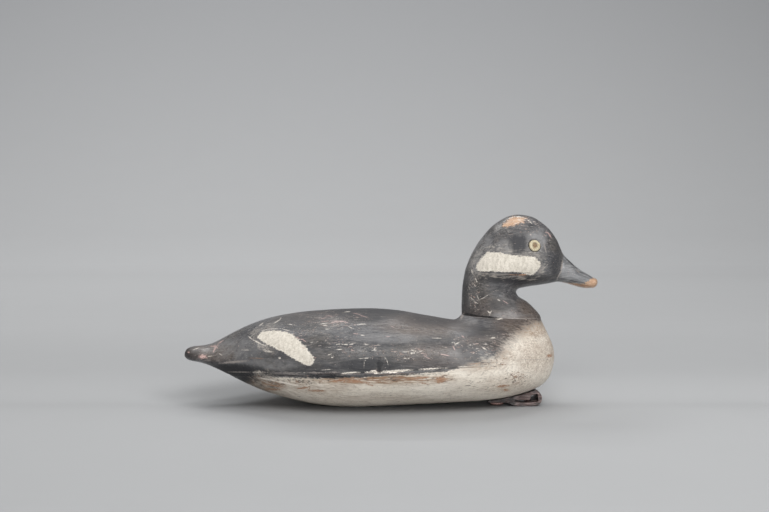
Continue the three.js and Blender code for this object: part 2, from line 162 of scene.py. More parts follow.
# Single marks on the near side as strokes: both ends and half the width
PALE_MARKS = [
    (-33, 21.4, -22, 22.2, 0.65), (-16.6, 22, -7.2, 22.1, 0.8), (-12.8, 22.9, -10, 23, 0.8),
    (-6, 22.5, 6, 22.9, 1), (-1, 22.9, 14, 23.8, 0.8), (20, 24.1, 33.4, 25, 0.62),
    (35.9, 25, 38.6, 25.2, 0.34), (46.1, 25.9, 51.5, 26.2, 0.41), (-73.4, 22.1, -70.6, 22.2, 0.34),
    (-65.2, 22.1, -54.4, 21.9, 0.3), (-46.9, 23.8, -40.8, 24.2, 0.3), (-90, 18.6, -76, 16, 0.5),
    (-79, 16.6, -62, 12.8, 0.7), (-52, 13.6, -44, 13.8, 0.5), (-134.4, 37.5, -130.4, 39, 0.3),
    (-124.9, 33, -121.5, 33.3, 0.27), (-116.8, 35, -114.8, 33.7, 0.27),
    (-94.5, 22.3, -86.5, 22.5, 0.35), (-96.8, 46.6, -94.4, 44.7, 0.41),
    (-94.4, 44.7, -87.6, 41.1, 0.41), (-87.6, 41.1, -84.2, 40.1, 0.34),
    (-87.6, 37.9, -79.5, 36, 0.24), (-86.3, 36.5, -80.8, 35.7, 0.24),
    (-101.2, 37.4, -95.8, 37.4, 0.24), (-87.6, 50.6, -83.5, 51.6, 0.27),
    (-83.5, 51.6, -76.1, 51.9, 0.27), (-73.4, 51.6, -68.6, 50.3, 0.27),
    (-89.3, 54, -86.9, 55.7, 0.34), (-79.5, 55.5, -75.4, 58.1, 0.31),
    (-75.4, 58.1, -74.7, 59.4, 0.27), (-75.9, 32, -75.5, 32, 0.61), (-69.3, 55, -67.2, 54.4, 0.27),
    (-48.2, 55, -42.8, 55.7, 0.3), (-45.5, 54, -43.5, 54.2, 0.27), (-44.2, 51.6, -42.8, 51.6, 0.3),
    (-31.3, 63.2, -27.9, 63.5, 0.27), (-28.6, 53, -25.9, 52, 0.27), (-20.4, 55, -16.4, 55, 0.31),
    (-20.4, 47.6, -18.4, 47.2, 0.34), (-37.4, 41.1, -34.7, 41.5, 0.34),
    (-32.6, 41.1, -29.2, 41.1, 0.37), (-27.9, 41.1, -25.9, 41.5, 0.37),
    (-18.4, 41.1, -15.7, 41.1, 0.34), (-36.7, 37.7, -33.3, 37.9, 0.34),
    (-42.8, 34, -40.8, 34.7, 0.34), (-40.8, 32.4, -39.4, 32.3, 0.34),
    (-21.1, 31.6, -14.3, 32, 0.34), (-18.2, 29.9, -18.4, 25.9, 0.22),
    (-4.4, 32.6, -3.8, 29.9, 0.22), (-3.1, 31.3, -2.1, 27.6, 0.22), (-13, 37.1, -10.2, 37.4, 0.27),
    (-11.6, 38.1, -10.9, 36.4, 0.27), (8.1, 36, 10.8, 36, 0.34), (8.8, 32, 10.1, 31.6, 0.34),
    (11.5, 31.3, 12.5, 32, 0.31), (13.5, 37.1, 15.5, 37.1, 0.31), (16.9, 36, 21, 36.7, 0.37),
    (13.5, 34.9, 14.2, 34.9, 0.41), (27.8, 45.5, 33.9, 45.4, 0.27), (43.4, 41.3, 46.1, 42.5, 0.41),
    (41.3, 42.4, 42.7, 42.8, 0.34), (71.5, 58.4, 75.9, 58.7, 0.54), (65.8, 63.7, 67.1, 62.2, 0.41),
    (67.1, 62.2, 68.1, 63.9, 0.34), (66.8, 61.5, 66.9, 60.5, 0.2), (62.4, 72.7, 65.8, 74.7, 0.2),
    (60.3, 71.8, 62.4, 72.5, 0.2), (54.6, 91.7, 55.6, 89, 0.37), (56.9, 86.3, 58.3, 83.5, 0.41),
    (55.6, 82.9, 57.6, 80.1, 0.27), (53.5, 73.4, 56.3, 71.3, 0.31), (54.9, 71, 59.6, 68.6, 0.31),
    (58.3, 74.7, 59.6, 71.3, 0.27), (52.5, 80.8, 53.2, 78.8, 0.27), (72.5, 71.5, 73.9, 70.9, 0.34),
    (79.3, 126.6, 83.4, 127.9, 0.27), (84.1, 128.1, 89.5, 127.4, 0.34),
    (85.4, 126.3, 88.8, 124.6, 0.27), (92.2, 125.9, 94.9, 124.3, 0.27),
    (94.3, 124.1, 95.6, 123.2, 0.24), (82.7, 122.6, 86.1, 123.7, 0.24),
    (125, 92.4, 127.7, 90.1, 0.24), (77.3, 34, 82, 33.3, 0.24), (61.7, 39.4, 64.4, 37.7, 0.41),
    (67.8, 45.5, 70.2, 45.9, 0.48),
]
TAN_MARKS = [
    (-110.7, 22.5, -95, 22.3, 0.5), (-79, 21.8, -60, 21.9, 0.5), (-58, 22, -46, 22, 0.4),
    (-44, 22.4, -35, 22.2, 0.5), (75.9, 58.9, 101, 58.7, 0.4), (-116, 28.4, -98, 30, 0.8),
    (-72, 20.6, -56, 20.2, 0.4), (47.4, 59, 49.4, 62.4, 0.9), (112.4, 85.4, 115.2, 90.6, 0.5),
    (115.2, 90.6, 116.4, 97.6, 0.6), (103.6, 110, 105.4, 103, 0.5), (125.6, 91.8, 127.6, 90.2, 0.5),
    (101.4, 92.6, 100.4, 90.2, 0.7), (87, 86.6, 92, 86.2, 0.3), (83.4, 30.6, 108, 31.2, 0.25),
]
PINK_MARKS = [
    (-129.3, 33, -125.9, 32.8, 1.36), (-122.2, 40, -118.1, 39.8, 0.48),
    (-118.8, 39.8, -120.7, 36.4, 0.61), (-117.5, 41.7, -114.1, 43.8, 0.41),
    (-137.8, 35.8, -137.1, 35.8, 0.54), (-48.2, 58.4, -44.2, 59.4, 0.27),
    (-44.2, 61, -38.7, 59.8, 0.27), (-42.8, 55.4, -36, 56.1, 0.24),
    (-39.4, 57.1, -31.3, 56.7, 0.41), (-31.3, 56.1, -29.2, 56, 0.27),
    (-25.9, 62.5, -21.1, 61.4, 0.27), (-21.1, 61.1, -15.7, 59.4, 0.27),
    (-26.5, 48.6, -21.1, 48.2, 0.24), (-3.5, 46.5, -0.7, 46.5, 0.24), (-0.1, 53.7, 2, 52.7, 0.27),
    (-47.6, 56.4, -42.8, 57.1, 0.27), (-64.5, 46.2, -61.8, 44.9, 0.34),
    (-60.5, 44.9, -57.7, 42.8, 0.34), (-61.1, 39.4, -57.7, 38.1, 0.27),
    (105.1, 117.5, 107.2, 116.4, 0.41), (107.2, 116.1, 108.5, 113.9, 0.48),
    (75.9, 71, 78.6, 69.3, 0.34), (48.1, 46.9, 49.5, 45.9, 0.41), (42, 40.1, 43.4, 37.4, 0.41),
    (33.2, 34.7, 40, 33.3, 0.41), (22.3, 33.3, 26.4, 31.3, 0.34), (18.3, 36, 23.7, 34.7, 0.27),
    (101, 90.3, 101.7, 93.7, 0.34),
]
RUST_MARKS = [
    (79.3, 88.6, 85.4, 88.2, 0.34), (85.4, 88.4, 92.6, 88.6, 0.54), (12.8, 18.1, 25, 18.7, 0.81),
    (31.8, 17, 35.9, 17.4, 2.17), (-27.9, 16.8, -21.1, 16, 0.88), (-40.1, 16.4, -32.6, 16.7, 0.88),
    (-31.3, 15.7, -14.3, 15.3, 0.54), (-17, 14.3, -11.6, 13, 0.48),
    (-63.2, 11.3, -56.4, 11.9, 0.68), (-55, 9.9, -44.9, 9.6, 0.68), (-86.3, 14.3, -74, 12.3, 0.68),
    (-84.9, 10.9, -75.4, 10.6, 0.81), (72.5, 12.6, 79.3, 13.3, 1.02), (76.6, 10.6, 79.3, 9.9, 0.88),
    (106.5, 33.3, 108.5, 33.7, 1.15), (116, 83.3, 124.1, 82, 0.61), (124.1, 82, 135, 80.6, 0.75),
    (19.6, 15, 25, 14.3, 0.48), (31.8, 6.4, 38.6, 8.5, 0.24), (65.1, 17.7, 68.5, 17.5, 0.27),
    (53.5, 27.6, 61.7, 28.9, 0.34), (-95.8, 32, -86.9, 31.6, 0.27),
]
DEEP_MARKS = [
    (48.6, 62.4, 59, 60.8, 0.6), (58.4, 60.9, 72.5, 59.5, 0.45), (-85.5, 20.4, -55, 19.9, 0.4),
    (-56, 19.6, -30, 19.2, 1.3), (-88, 21.3, -78, 20.7, 0.5), (-84, 13, -76, 11.4, 0.5),
    (-90, 10, -82, 8.6, 0.5), (-100, 15, -92, 9.4, 1), (121, 84.9, 127.6, 83.4, 0.4),
    (127.6, 83.4, 133, 82.2, 0.35), (117.4, 100.6, 126, 92.6, 0.5), (127, 91.2, 138, 85.6, 0.35),
    (57.6, 90.5, 73.9, 90.1, 0.34), (73.9, 90.1, 94.9, 89.8, 0.34),
    (77.3, 119.5, 79.3, 116.4, 0.41), (79.3, 116.4, 82.7, 116.8, 0.41),
    (118.7, 83.9, 124.8, 83.3, 0.27), (126.2, 82.3, 132.3, 81.4, 0.31),
    (-10.6, 29.2, -5.5, 28.6, 0.61), (-7.9, 30.6, -7.9, 23.5, 1.76),
    (-32.6, 20.3, 33.2, 20.9, 0.41), (80.7, 21.4, 82.4, 19.7, 0.34), (83.4, 18.1, 84.8, 16.4, 0.34),
    (86.8, 19.1, 88.8, 19.7, 0.34), (90.5, 19.7, 92.2, 18.7, 0.24), (82, 16.4, 83.4, 15.7, 0.27),
    (56.9, 28.6, 71.2, 29, 0.24), (60.3, 18.1, 67.1, 17.4, 0.2), (31.8, 6.2, 37.3, 7.9, 0.2),
    (76.6, 17.7, 79.3, 18.1, 0.27),
]
STROKES = (PALE_MARKS, TAN_MARKS, PINK_MARKS, RUST_MARKS, DEEP_MARKS)

# Wide patches as ovals: middle, both half sizes and strength
ZONES = {
    "brown": [
        (22, 55, 42, 12, 0.9), (30, 33, 34, 12, 0.8), (88, 55, 26, 14, 1), (96, 66, 16, 12, 0.9),
        (-133, 37, 12, 8, 1), (-118, 35, 18, 9, 0.8), (66, 66, 24, 10, 0.6), (-40, 60, 50, 8, 0.5),
        (62, 42, 24, 8, 0.6), (84, 47, 16, 9, 0.8),
    ],
    # Darker places: partly darker paint, partly painted shade under the cheek, under the tail and
    # over the top of the back
    "dark": [
        (-20, 68, 80, 13, 1), (-18, 60, 26, 6, 0.9), (30, 61, 34, 11, 0.8), (54, 36, 12, 8, 0.5),
        (-60, 56, 26, 9, 0.75), (-14, 27, 34, 9, 0.8), (60, 24, 20, 3, 0.3), (-136, 36, 10, 8, 0.6),
        (0, 29, 66, 9, 0.35), (-70, 34, 40, 10, 0.3), (-106, 24, 26, 6, 1), (-98, 14, 12, 10, 0.8),
        (-50, 24, 26, 5, 0.6), (84, 86, 34, 5, 1), (50, 80, 4, 16, 0.3), (111, 94, 4, 12, 0.6),
        (86, 110, 9, 9, 0.4), (113, 108, 4, 14, 0.4), (74, 68, 12, 6, 0.7), (62, 38, 20, 8, 0.35),
        (30, 44, 20, 5, 0.3), (62, 50, 20, 5, 0.3), (0, 39, 16, 5, 0.4),
    ],
    # Faded paint, and painted highlights: the band along the flank, the tail's chine and the brow
    # above the eye
    "faded": [
        (62, 109, 10, 10, 0.8), (53, 90, 6, 14, 0.6), (76, 107, 8, 8, 0.7), (100, 116, 9, 6, 1),
        (102, 102, 6, 8, 0.4), (-100, 38, 34, 11, 0.7), (-86, 28, 34, 6, 0.8),
        (-60, 34, 24, 8, 0.3), (64, 106, 10, 10, 0.4), (52, 33, 22, 12, 0.5), (48, 62, 7, 6, 0.5),
        (0, 45, 36, 4.5, 0.6), (102, 112, 5, 9, 1), (58, 98, 10, 14, 0.9), (100, 90, 10, 8, 0.5),
        (55, 74, 6, 12, 0.5), (80, 61, 20, 2.5, 0.5), (48, 52, 16, 6, 0.5),
    ],
    "chips": [
        (-18, 38, 26, 9, 0.8), (-53, 32, 6, 9, 0.9), (-62, 48, 10, 8, 0.7), (14, 37, 18, 8, 0.75),
        (60, 39, 26, 9, 0.85), (46, 44, 10, 8, 0.8), (78, 46, 12, 6, 0.8), (-60, 44, 34, 12, 0.5),
        (-90, 42, 30, 16, 0.5), (56, 76, 7, 22, 0.95), (64, 90, 14, 4, 0.8), (90, 124, 16, 6, 0.85),
        (106, 116, 7, 9, 0.7), (76, 58, 26, 14, 0.3), (-35, 52, 40, 14, 0.45), (62, 71, 16, 8, 0.6),
        (20, 50, 44, 14, 0.25), (70, 100, 30, 22, 0.25), (76, 118, 14, 6, 0.5),
    ],
    "scratch": [
        (-40, 58, 34, 9, 1), (-70, 50, 30, 12, 0.7), (20, 34, 40, 8, 0.7), (-30, 40, 30, 10, 0.6),
        (60, 40, 26, 10, 0.5), (92, 122, 16, 8, 0.8), (56, 78, 8, 20, 0.5),
    ],
    "rubbed": [
        (78, 36, 16, 12, 1), (-86, 15, 14, 8, 1), (96, 46, 18, 14, 0.7), (64, 28, 26, 6, 0.9),
        (104, 30, 14, 20, 0.4), (-60, 15, 40, 6, 0.5), (-10, 18, 70, 4, 1), (96, 42, 28, 24, 0.9),
    ],
    "flecks": [
        (-84, 14, 20, 7, 0.8), (-62, 15, 24, 5, 0.7), (-66, 8, 30, 6, 0.3), (86, 19, 14, 7, 0.6),
        (-14, 18, 60, 4, 0.8), (-92, 17, 12, 6, 0.8), (40, 18, 30, 5, 0.5), (70, 30, 20, 8, 0.5),
        (94, 60, 14, 8, 0.4), (60, 12, 30, 8, 0.3),
    ],
    "stain": [
        (-84, 12, 20, 8, 0.45), (-80, 8, 30, 8, 0.3), (-50, 12, 36, 9, 0.45),
        (-10, 17.2, 68, 5, 1.3), (34, 18, 14, 5, 0.8), (80, 14, 26, 10, 0.4), (60, 27, 24, 5, 0.5),
        (96, 52, 18, 9, 0.8), (98, 32, 18, 16, 0.4), (-20, 4, 60, 5, 0.35), (76, 34, 10, 6, 0.4),
        (112, 40, 12, 16, 0.5),
    ],
}


# The distance that means that no stroke is near, and the furthest that a mask tells of its edge
FAR_OFF = 99.0
MASK_REACH = 20.0


def along(table, x):
    """Value of a table at x, on the same smooth curve as the solid."""
    places, values = np.asarray(table, float).T
    x = np.clip(x, places[0], places[-1])
    last = len(places) - 1
    i = np.clip(np.searchsorted(places, x, side="right") - 1, 0, last - 1)
    before = np.maximum(np.arange(last + 1) - 1, 0)
    after = np.minimum(np.arange(last + 1) + 1, last)
    slope = (values[after] - values[before]) / (places[after] - places[before])
    h = places[i + 1] - places[i]
    s = (x - places[i]) / h
    ends = values[i] * (1 + 2 * s) * (1 - s) ** 2 + values[i + 1] * s * s * (3 - 2 * s)
    return ends + h * (slope[i] * s * (1 - s) ** 2 - slope[i + 1] * s * s * (1 - s))


def smooth(low, high, value):
    s = np.clip((value - low) / (high - low), 0, 1)
    return s * s * (3 - 2 * s)


def rounded(share, power):
    return np.sqrt(np.maximum(0, 1 - np.maximum(0, share) ** power))


def bottom_plane(x):
    return (x - REST_X) * SIT_SLOPE - BOTTOM_SINK


def seam_height(x):
    return bottom_plane(x) + SEAM_HEIGHT


def lattice(ix, iy, iz, seed):
    """A fixed number from 0 to 1 for each corner of a lattice."""
    mask = 0xFFFFFFFF
    h = (ix * 374761393 + iy * 668265263 + iz * 1274126177 + seed * 97471147) & mask
    h = ((h ^ (h >> 13)) * 1103515245) & mask
    h = ((h ^ (h >> 15)) * 668265263) & mask
    return ((h ^ (h >> 16)) & 0xFFFF) / 65535.0


def grain(points, sizes, seed):
    """Smooth noise from -1 to 1 whose patches have these sizes along x, y and z."""
    q = points / np.asarray(sizes, float) + seed * 17.31
    i = np.floor(q).astype(np.int64)
    f = q - i
    f = f * f * (3 - 2 * f)
    total = 0
    for corner in np.ndindex(2, 2, 2):
        wx, wy, wz = (f[:, k] if corner[k] else 1 - f[:, k] for k in range(3))
        total = total + wx * wy * wz * lattice(*(i + corner).T, seed)
    return total * 2 - 1


def side_view(points):
    """Where points are seen from the camera's side, on the middle plane, near or far side alike."""
    rise = math.radians(VIEW["rise"])
    eye = np.array(VIEW["aim"]) + VIEW["distance"] * np.array([0, -math.cos(rise), math.sin(rise)])
    share = -eye[1] / (-np.abs(points[:, 1]) - eye[1])
    return eye[[0, 2]] + (points[:, [0, 2]] - eye[[0, 2]]) * share[:, None]


def inside_by(spots, outline):
    """How far spots lie inside a closed outline, negative outside."""
    corners = np.array(outline, float)
    nearest = np.full(len(spots), 1e9)
    inside = np.zeros(len(spots), bool)
    for a, b in zip(corners, np.roll(corners, -1, 0)):
        side = b - a
        share = np.clip(((spots - a) @ side) / (side @ side), 0, 1)
        away = spots - a - share[:, None] * side
        nearest = np.minimum(nearest, np.hypot(away[:, 0], away[:, 1]))
        straddles = (a[1] > spots[:, 1]) != (b[1] > spots[:, 1])
        rise = side[1] if side[1] else 1e-9
        inside ^= straddles & (spots[:, 0] < side[0] * (spots[:, 1] - a[1]) / rise + a[0])
    return np.where(inside, nearest, -nearest)


def nearest_stroke(spots):
    """How each spot lies to the nearest stroke: along and across its axis, its half sizes,
    its kind, and the distance off it. The axis stays true between the points of a mesh."""
    off = np.full(len(spots), FAR_OFF)
    found = np.zeros((5, len(spots)))
    for kind, strokes in enumerate(STROKES):
        for x0, z0, x1, z1, half in strokes:
            side = np.array([x1 - x0, z1 - z0])
            long = math.hypot(*side) / 2
            side = side / (2 * long)
            away = spots - ((x0 + x1) / 2, (z0 + z1) / 2)
            lengthways = away @ side
            across = away @ np.array([-side[1], side[0]])
            gap = np.hypot(np.maximum(np.abs(lengthways) - long, 0), across) - half
            closer = gap < off
            off[closer] = gap[closer]
            found[:2, closer] = lengthways[closer], across[closer]
            found[2:, closer] = np.array([[long + half], [half], [kind]])
    return dict(zip(("lengthways", "across", "half_long", "half_wide", "kind"), found), off=off)


def grid_normals(grid, closed=False):
    """Outward directions of a grid of points, from its own slopes; a closed grid's rows join up."""
    full = np.concatenate([grid, grid[:, :1]], 1) if closed else grid
    facing = np.cross(np.gradient(full, axis=0), np.gradient(full, axis=1))[:, : grid.shape[1]]
    facing = facing / np.maximum(np.linalg.norm(facing, axis=2, keepdims=True), 1e-9)
    outward = np.sum(facing * (grid - grid.mean(1, keepdims=True)))
    return (facing if outward > 0 else -facing).reshape(-1, 3)


def closed_faces(rings, around):
    """Quads of closed rings, and fans to a pole at each end, which come after the rings."""
    ring, k = np.meshgrid(np.arange(rings - 1), np.arange(around), indexing="ij")
    here = ring * around + k
    beside = ring * around + (k + 1) % around
    quads = np.stack([here, beside, beside + around, here + around], 2).reshape(-1, 4)
    first, last = rings * around, rings * around + 1
    faces = quads.tolist()
    top = (rings - 1) * around
    for j in range(around):
        faces.append([first, (j + 1) % around, j])
        faces.append([last, top + j, top + (j + 1) % around])
    return faces


def plain_object(name, points, faces, unit=MM):
    """An object from faces and points, in millimetres unless another unit is given."""
    mesh = bpy.data.meshes.new(name)
    mesh.from_pydata((np.asarray(points) * unit).tolist(), [], faces)
    made = bpy.data.objects.new(name, mesh)
    bpy.context.scene.collection.objects.link(made)
    return made


def make_piece(name, points, faces, marks, material, crease=38):
    """A piece of the decoy, with its marks as point attributes."""
    piece = plain_object(name, points, faces)
    for mark, values in marks.items():
        data = piece.data.attributes.new(mark, "FLOAT", "POINT").data
        data.foreach_set("value", np.asarray(values, np.float32))
    piece.data.shade_smooth()
    piece.data.set_sharp_from_angle(angle=math.radians(crease))
    piece.data.materials.append(material)
    return piece


# Materials
def linear(code):
    """Linear colour from a hex code."""
    parts = [int(code[i : i + 2], 16) / 255 for i in (1, 3, 5)]
    return [c / 12.92 if c <= 0.04045 else ((c + 0.055) / 1.055) ** 2.4 for c in parts] + [1.0]


def add(tree, kind, inputs=None, out=0, **settings):
    """A new node with its settings, of which one output is given. Inputs, by name or number,
    are linked or set, and a hex code sets a colour."""
    node = tree.nodes.new("ShaderNode" + kind)
    for key, value in settings.items():
        setattr(node, key, value)
    for key, value in (inputs or {}).items():
        if isinstance(value, bpy.types.NodeSocket):
            tree.links.new(value, node.inputs[key])
        else:
            node.inputs[key].default_value = linear(value) if isinstance(value, str) else value
    return node.outputs[out] if node.outputs else None


def new_material(name):
    """An empty material, and the function above for its nodes."""
    material = bpy.data.materials.new(name)
    material.use_nodes = True
    material.node_tree.nodes.clear()
    return material, partial(add, material.node_tree)


def patterns(node, *rows, shift=0):
    """Noise from about 0.25 to 0.75 for each row: patches per millimetre, how they are stretched
    along the axes, detail, roughness, how far they are moved, and how much they are warped."""
    place = node("TexCoord", out="Object")
    made = []
    for scale, stretch, detail, rough, move, warp in rows:
        move += shift
        size = [share / MM for share in stretch]
        spot = {"Vector": place, "Location": (move, 0.7 * move, -move), "Scale": size}
        noise = {"Vector": node("Mapping", spot), "Scale": scale, "Detail": detail}
        noise.update({"Roughness": rough, "Distortion": warp})
        made.append(node("TexNoise", noise))
    return made


def coats(node, base, *rows):
    """Coats over a base colour, each from none where its pattern is at the low value to its
    full strength where it is at the high one."""
    for pattern, low, high, strength, shade in rows:
        share = node("MapRange", {0: pattern, 1: low, 2: high, 4: strength})
        base = node("Mix", {0: share, 6: base, 7: shade}, out=2, data_type="RGBA")
    return base


def ragged_edge(node, distance, pattern, ragged, soft):
    """1 inside an outline and 0 outside, with an edge that a pattern makes ragged."""
    pushed = node("Math", {0: pattern, 1: ragged, 2: distance}, operation="MULTIPLY_ADD")
    return node("MapRange", {0: pushed, 1: 0.5 * ragged - soft, 2: 0.5 * ragged + soft})


def finish(node, colour, rough, height, depth, specular=0.5, metal=0.0):
    """The surface, with relief from a height whose unit is depth millimetres."""
    bump = node("Bump", {"Strength": 1.0, "Distance": depth * MM, "Height": height})
    inputs = {"Base Color": colour, "Roughness": rough, "Normal": bump, "Metallic": metal}
    inputs["Specular IOR Level"] = specular
    node("OutputMaterial", {0: node("BsdfPrincipled", inputs)})


# What the points of a painted piece tell its shader
MARKS = ("white", "clean", "soft_edge", "slate", "retouch", "bare", "painted_shade_under_tail")
MARKS += ("lengthways", "across", "half_long", "half_wide", "kind", "off", *ZONES)


def painted_cedar(name, shift):
    """Old oil paint on carved cedar: black, white, and slate on the bill, worn to the wood."""
    material, node = new_material(name)
    mark = {key: node("Attribute", out="Fac", attribute_name=key) for key in MARKS}
    # Across, in millimetres: the paint's texture 0.6, streaks along the grain 1, fading 18 and
    # 4.5, specks 1, raised ribs of grain 1.3, scrapes 2.2 and brush strokes 2
    fine, streak, broad, middle, speck, ribs, scrape, brush = patterns(
        node,
        (1.6, (0.45, 1, 1), 3, 0.5, 0, 0),
        (1.0, (0.1, 1, 1), 4, 0.65, 3, 0),
        (0.055, (0.6, 1, 1), 4, 0.6, 7, 0),
        (0.22, (0.5, 1, 1), 4, 0.6, 11, 0),
        (1.05, (0.3, 1, 1), 3, 0.6, 19, 0.5),
        (0.75, (0.2, 1, 1), 3, 0.7, 43, 0),
        (0.45, (0.2, 1, 1), 3, 0.5, 27, 0.8),
        (0.5, (1, 1, 0.3), 4, 0.6, 35, 0.6),
        shift=shift,
    )
    speck_brush = node("Mix", {0: 0.5, 2: speck, 3: brush})

    # Black paint, faded to slate and to brown, with painted highlights where it is lighter along
    # the flank, the tail's chine and the brow, and painted shade where it is darker
    faded = node("MapRange", {0: middle, 1: 0.25, 2: 0.6, 4: mark["faded"]})
    streak_brush = node("Mix", {0: 0.4, 2: streak, 3: brush})
    # Painted shade under the tail
    is_painted_shade_under_tail = ragged_edge(node, mark["painted_shade_under_tail"], streak_brush, 12, 1.4)
    is_retouch = ragged_edge(node, mark["retouch"], brush, 8, 1.6)
    black = coats(
        node,
        "#58585a",
        (broad, 0.42, 0.58, 1, "#615d59"),
        (middle, 0.45, 0.75, 1, "#38383b"),
        (streak, 0.5, 0.75, 0.5, "#7b7876"),
        (fine, 0.55, 0.42, 0.45, "#39393d"),
        (mark["brown"], 0, 1, 0.6, "#65574d"),
        (ribs, 0.48, 0.36, 0.6, "#313134"),
        (ribs, 0.53, 0.66, 0.45, "#84807d"),
        # Faded paint, and painted highlights along the flank, the tail's chine and the brow
        (faded, 0, 1, 0.7, "#939292"),
        # Darker paint, and painted shade under the cheek, under the tail and over the top of the
        # back
        (mark["dark"], 0, 1, 0.88, "#28282b"),
        # Painted shade under the tail, darker than its black paint
        (is_painted_shade_under_tail, 0, 1, 0.9, "#242427"),
        (is_retouch, 0, 1, 0.9, "#2e2e32"),
    )

    # White paint, brushed, cracked here and there, and grimy
    rubbed = node("MapRange", {0: streak, 1: 0.35, 2: 0.55, 4: mark["rubbed"]})
    stained = node("MapRange", {0: streak, 1: 0.3, 2: 0.6, 4: mark["stain"]})
    spot = node("Mapping", {0: node("TexCoord", out="Object"), "Scale": (700, 1000, 1000)})
    cells = node("TexVoronoi", {"Vector": spot, "Scale": 0.4}, feature="DISTANCE_TO_EDGE")
    crack = node("Math", {0: fine, 1: 0.2, 2: cells}, operation="MULTIPLY_ADD")
    crack = node("MapRange", {0: crack, 1: 0.16, 2: 0.1})
    crack = node("MapRange", {0: brush, 1: 0.46, 2: 0.62, 4: crack})
    flecks = node("Mix", {0: 0.5, 2: scrape, 3: speck})
    flecks = node("Math", {0: mark["flecks"], 1: 0.2, 2: flecks}, operation="MULTIPLY_ADD")
    fleck = coats(node, "#4b423d", (middle, 0.45, 0.55, 1, "#8b6c55"))
    patch = coats(
        node,
        "#e5ded2",
        (brush, 0.35, 0.65, 1, "#cbc4b7"),
        (fine, 0.5, 0.38, 0.5, "#b6ad9f"),
        (crack, 0, 1, 0.25, "#8f877b"),
    )
    white = coats(
        node,
        "#efe7da",
        (broad, 0.4, 0.62, 1, "#e2d9cb"),
        (rubbed, 0, 1, 0.5, "#b6a99c"),
        (streak, 0.5, 0.68, 0.45, "#a4978a"),
        (middle, 0.48, 0.66, 0.4, "#b5a79c"),
        (speck, 0.56, 0.66, 0.3, "#958a80"),
        (fine, 0.56, 0.7, 0.5, "#f1ebe0"),
        (stained, 0, 1.25, 1, "#8e7157"),
        (crack, 0, 1, 0.45, "#6b6259"),
        (flecks, 0.64, 0.69, 0.8, fleck),
        (mark["clean"], 0, 1, 1, patch),
    )
    crisp = node("Mix", {0: 0.6, 2: fine, 3: brush})
    crisp = ragged_edge(node, mark["white"], node("Mix", {0: 0.4, 2: crisp, 3: streak}), 7, 0.4)
    blended = node("Mix", {0: 0.35, 2: streak, 3: middle})
    blended = ragged_edge(node, mark["white"], blended, 30, 4.2)
    is_white = node("Mix", {0: mark["soft_edge"], 2: crisp, 3: blended})

    # Slate grey bill
    slate = (middle, 0.38, 0.6, 1, "#5b5c5e"), (streak, 0.5, 0.7, 0.5, "#a7a6a6")
    slate = coats(node, "#818182", *slate)

    # Bare wood at worn places and edges
    wood = coats(node, "#b58a68", (streak, 0.35, 0.65, 1, "#d2b193"))
    is_wood = ragged_edge(node, mark["bare"], speck_brush, 9, 0.5)

    # Small chips in streaks and thin crooked scratches, pinkish primer and pale wood
    is_chip = node("Math", {0: mark["chips"], 1: 0.17, 2: speck}, operation="MULTIPLY_ADD")
    is_chip = node("MapRange", {0: is_chip, 1: 0.735, 2: 0.755})
    crooked = node("Math", {0: scrape, 1: 0.5}, operation="SUBTRACT")
    crooked = node("Math", {0: crooked}, operation="ABSOLUTE")
    crooked = node("MapRange", {0: crooked, 1: 0.022, 2: 0.012})
    broken = node("Math", {0: mark["scratch"], 1: 0.16, 2: speck}, operation="MULTIPLY_ADD")
    is_line = node("MapRange", {0: broken, 1: 0.62, 2: 0.66, 4: crooked})
    is_chip = node("Math", {0: is_chip, 1: is_line}, operation="MAXIMUM")
    is_chip = node("MapRange", {0: is_white, 1: 1, 2: 0, 4: is_chip})
    chip = coats(node, "#c8aca1", (middle, 0.4, 0.6, 1, "#d6d0c8"))

    # Single marks: pale, tan, pink, rusty and dark strokes that thin out towards both ends
    long = node("Math", {0: mark["lengthways"], 1: mark["half_long"]}, operation="DIVIDE")
    wide = node("Math", {0: mark["across"], 1: mark["half_wide"]}, operation="DIVIDE")
    reach = node("Math", {0: wide, 1: wide}, operation="MULTIPLY")
    reach = node("Math", {0: long, 1: long, 2: reach}, operation="MULTIPLY_ADD")
    reach = node("Math", {0: reach}, operation="SQRT")
    reach = node("Math", {0: fine, 1: 3.0, 2: reach}, operation="MULTIPLY_ADD")
    is_mark = node("MapRange", {0: reach, 1: 2.7, 2: 2.1})
    is_mark = node("MapRange", {0: mark["off"], 1: 1.0, 2: 0.6, 4: is_mark})
    kind = mark["kind"]
    between = node("Math", {0: kind}, operation="ROUND")
    between = node("Math", {0: kind, 1: between}, operation="SUBTRACT")
    between = node("Math", {0: between}, operation="ABSOLUTE")
    is_mark = node("MapRange", {0: between, 1: 0.2, 2: 0.05, 4: is_mark})
    worn = node("Mix", {0: 0.5, 2: fine, 3: speck})
    worn = node("MapRange", {0: worn, 1: 0.4, 2: 0.5, 3: 0.2, 4: 0.95})
    bold = node("MapRange", {0: mark["half_wide"], 1: 0.3, 2: 0.7, 3: 0.68, 4: 1.3})
    worn = node("Math", {0: worn, 1: bold}, operation="MULTIPLY")
    is_mark = node("Math", {0: is_mark, 1: worn}, operation="MULTIPLY")
    rust = coats(node, "#8f6a52", (streak, 0.4, 0.6, 1, "#b48f74"))
    inks = enumerate(("#928b86", "#c4a69f", rust, "#1d1d20"))
    ink = coats(node, "#efe6da", *((kind, k + 0.4, k + 0.6, 1, shade) for k, shade in inks))

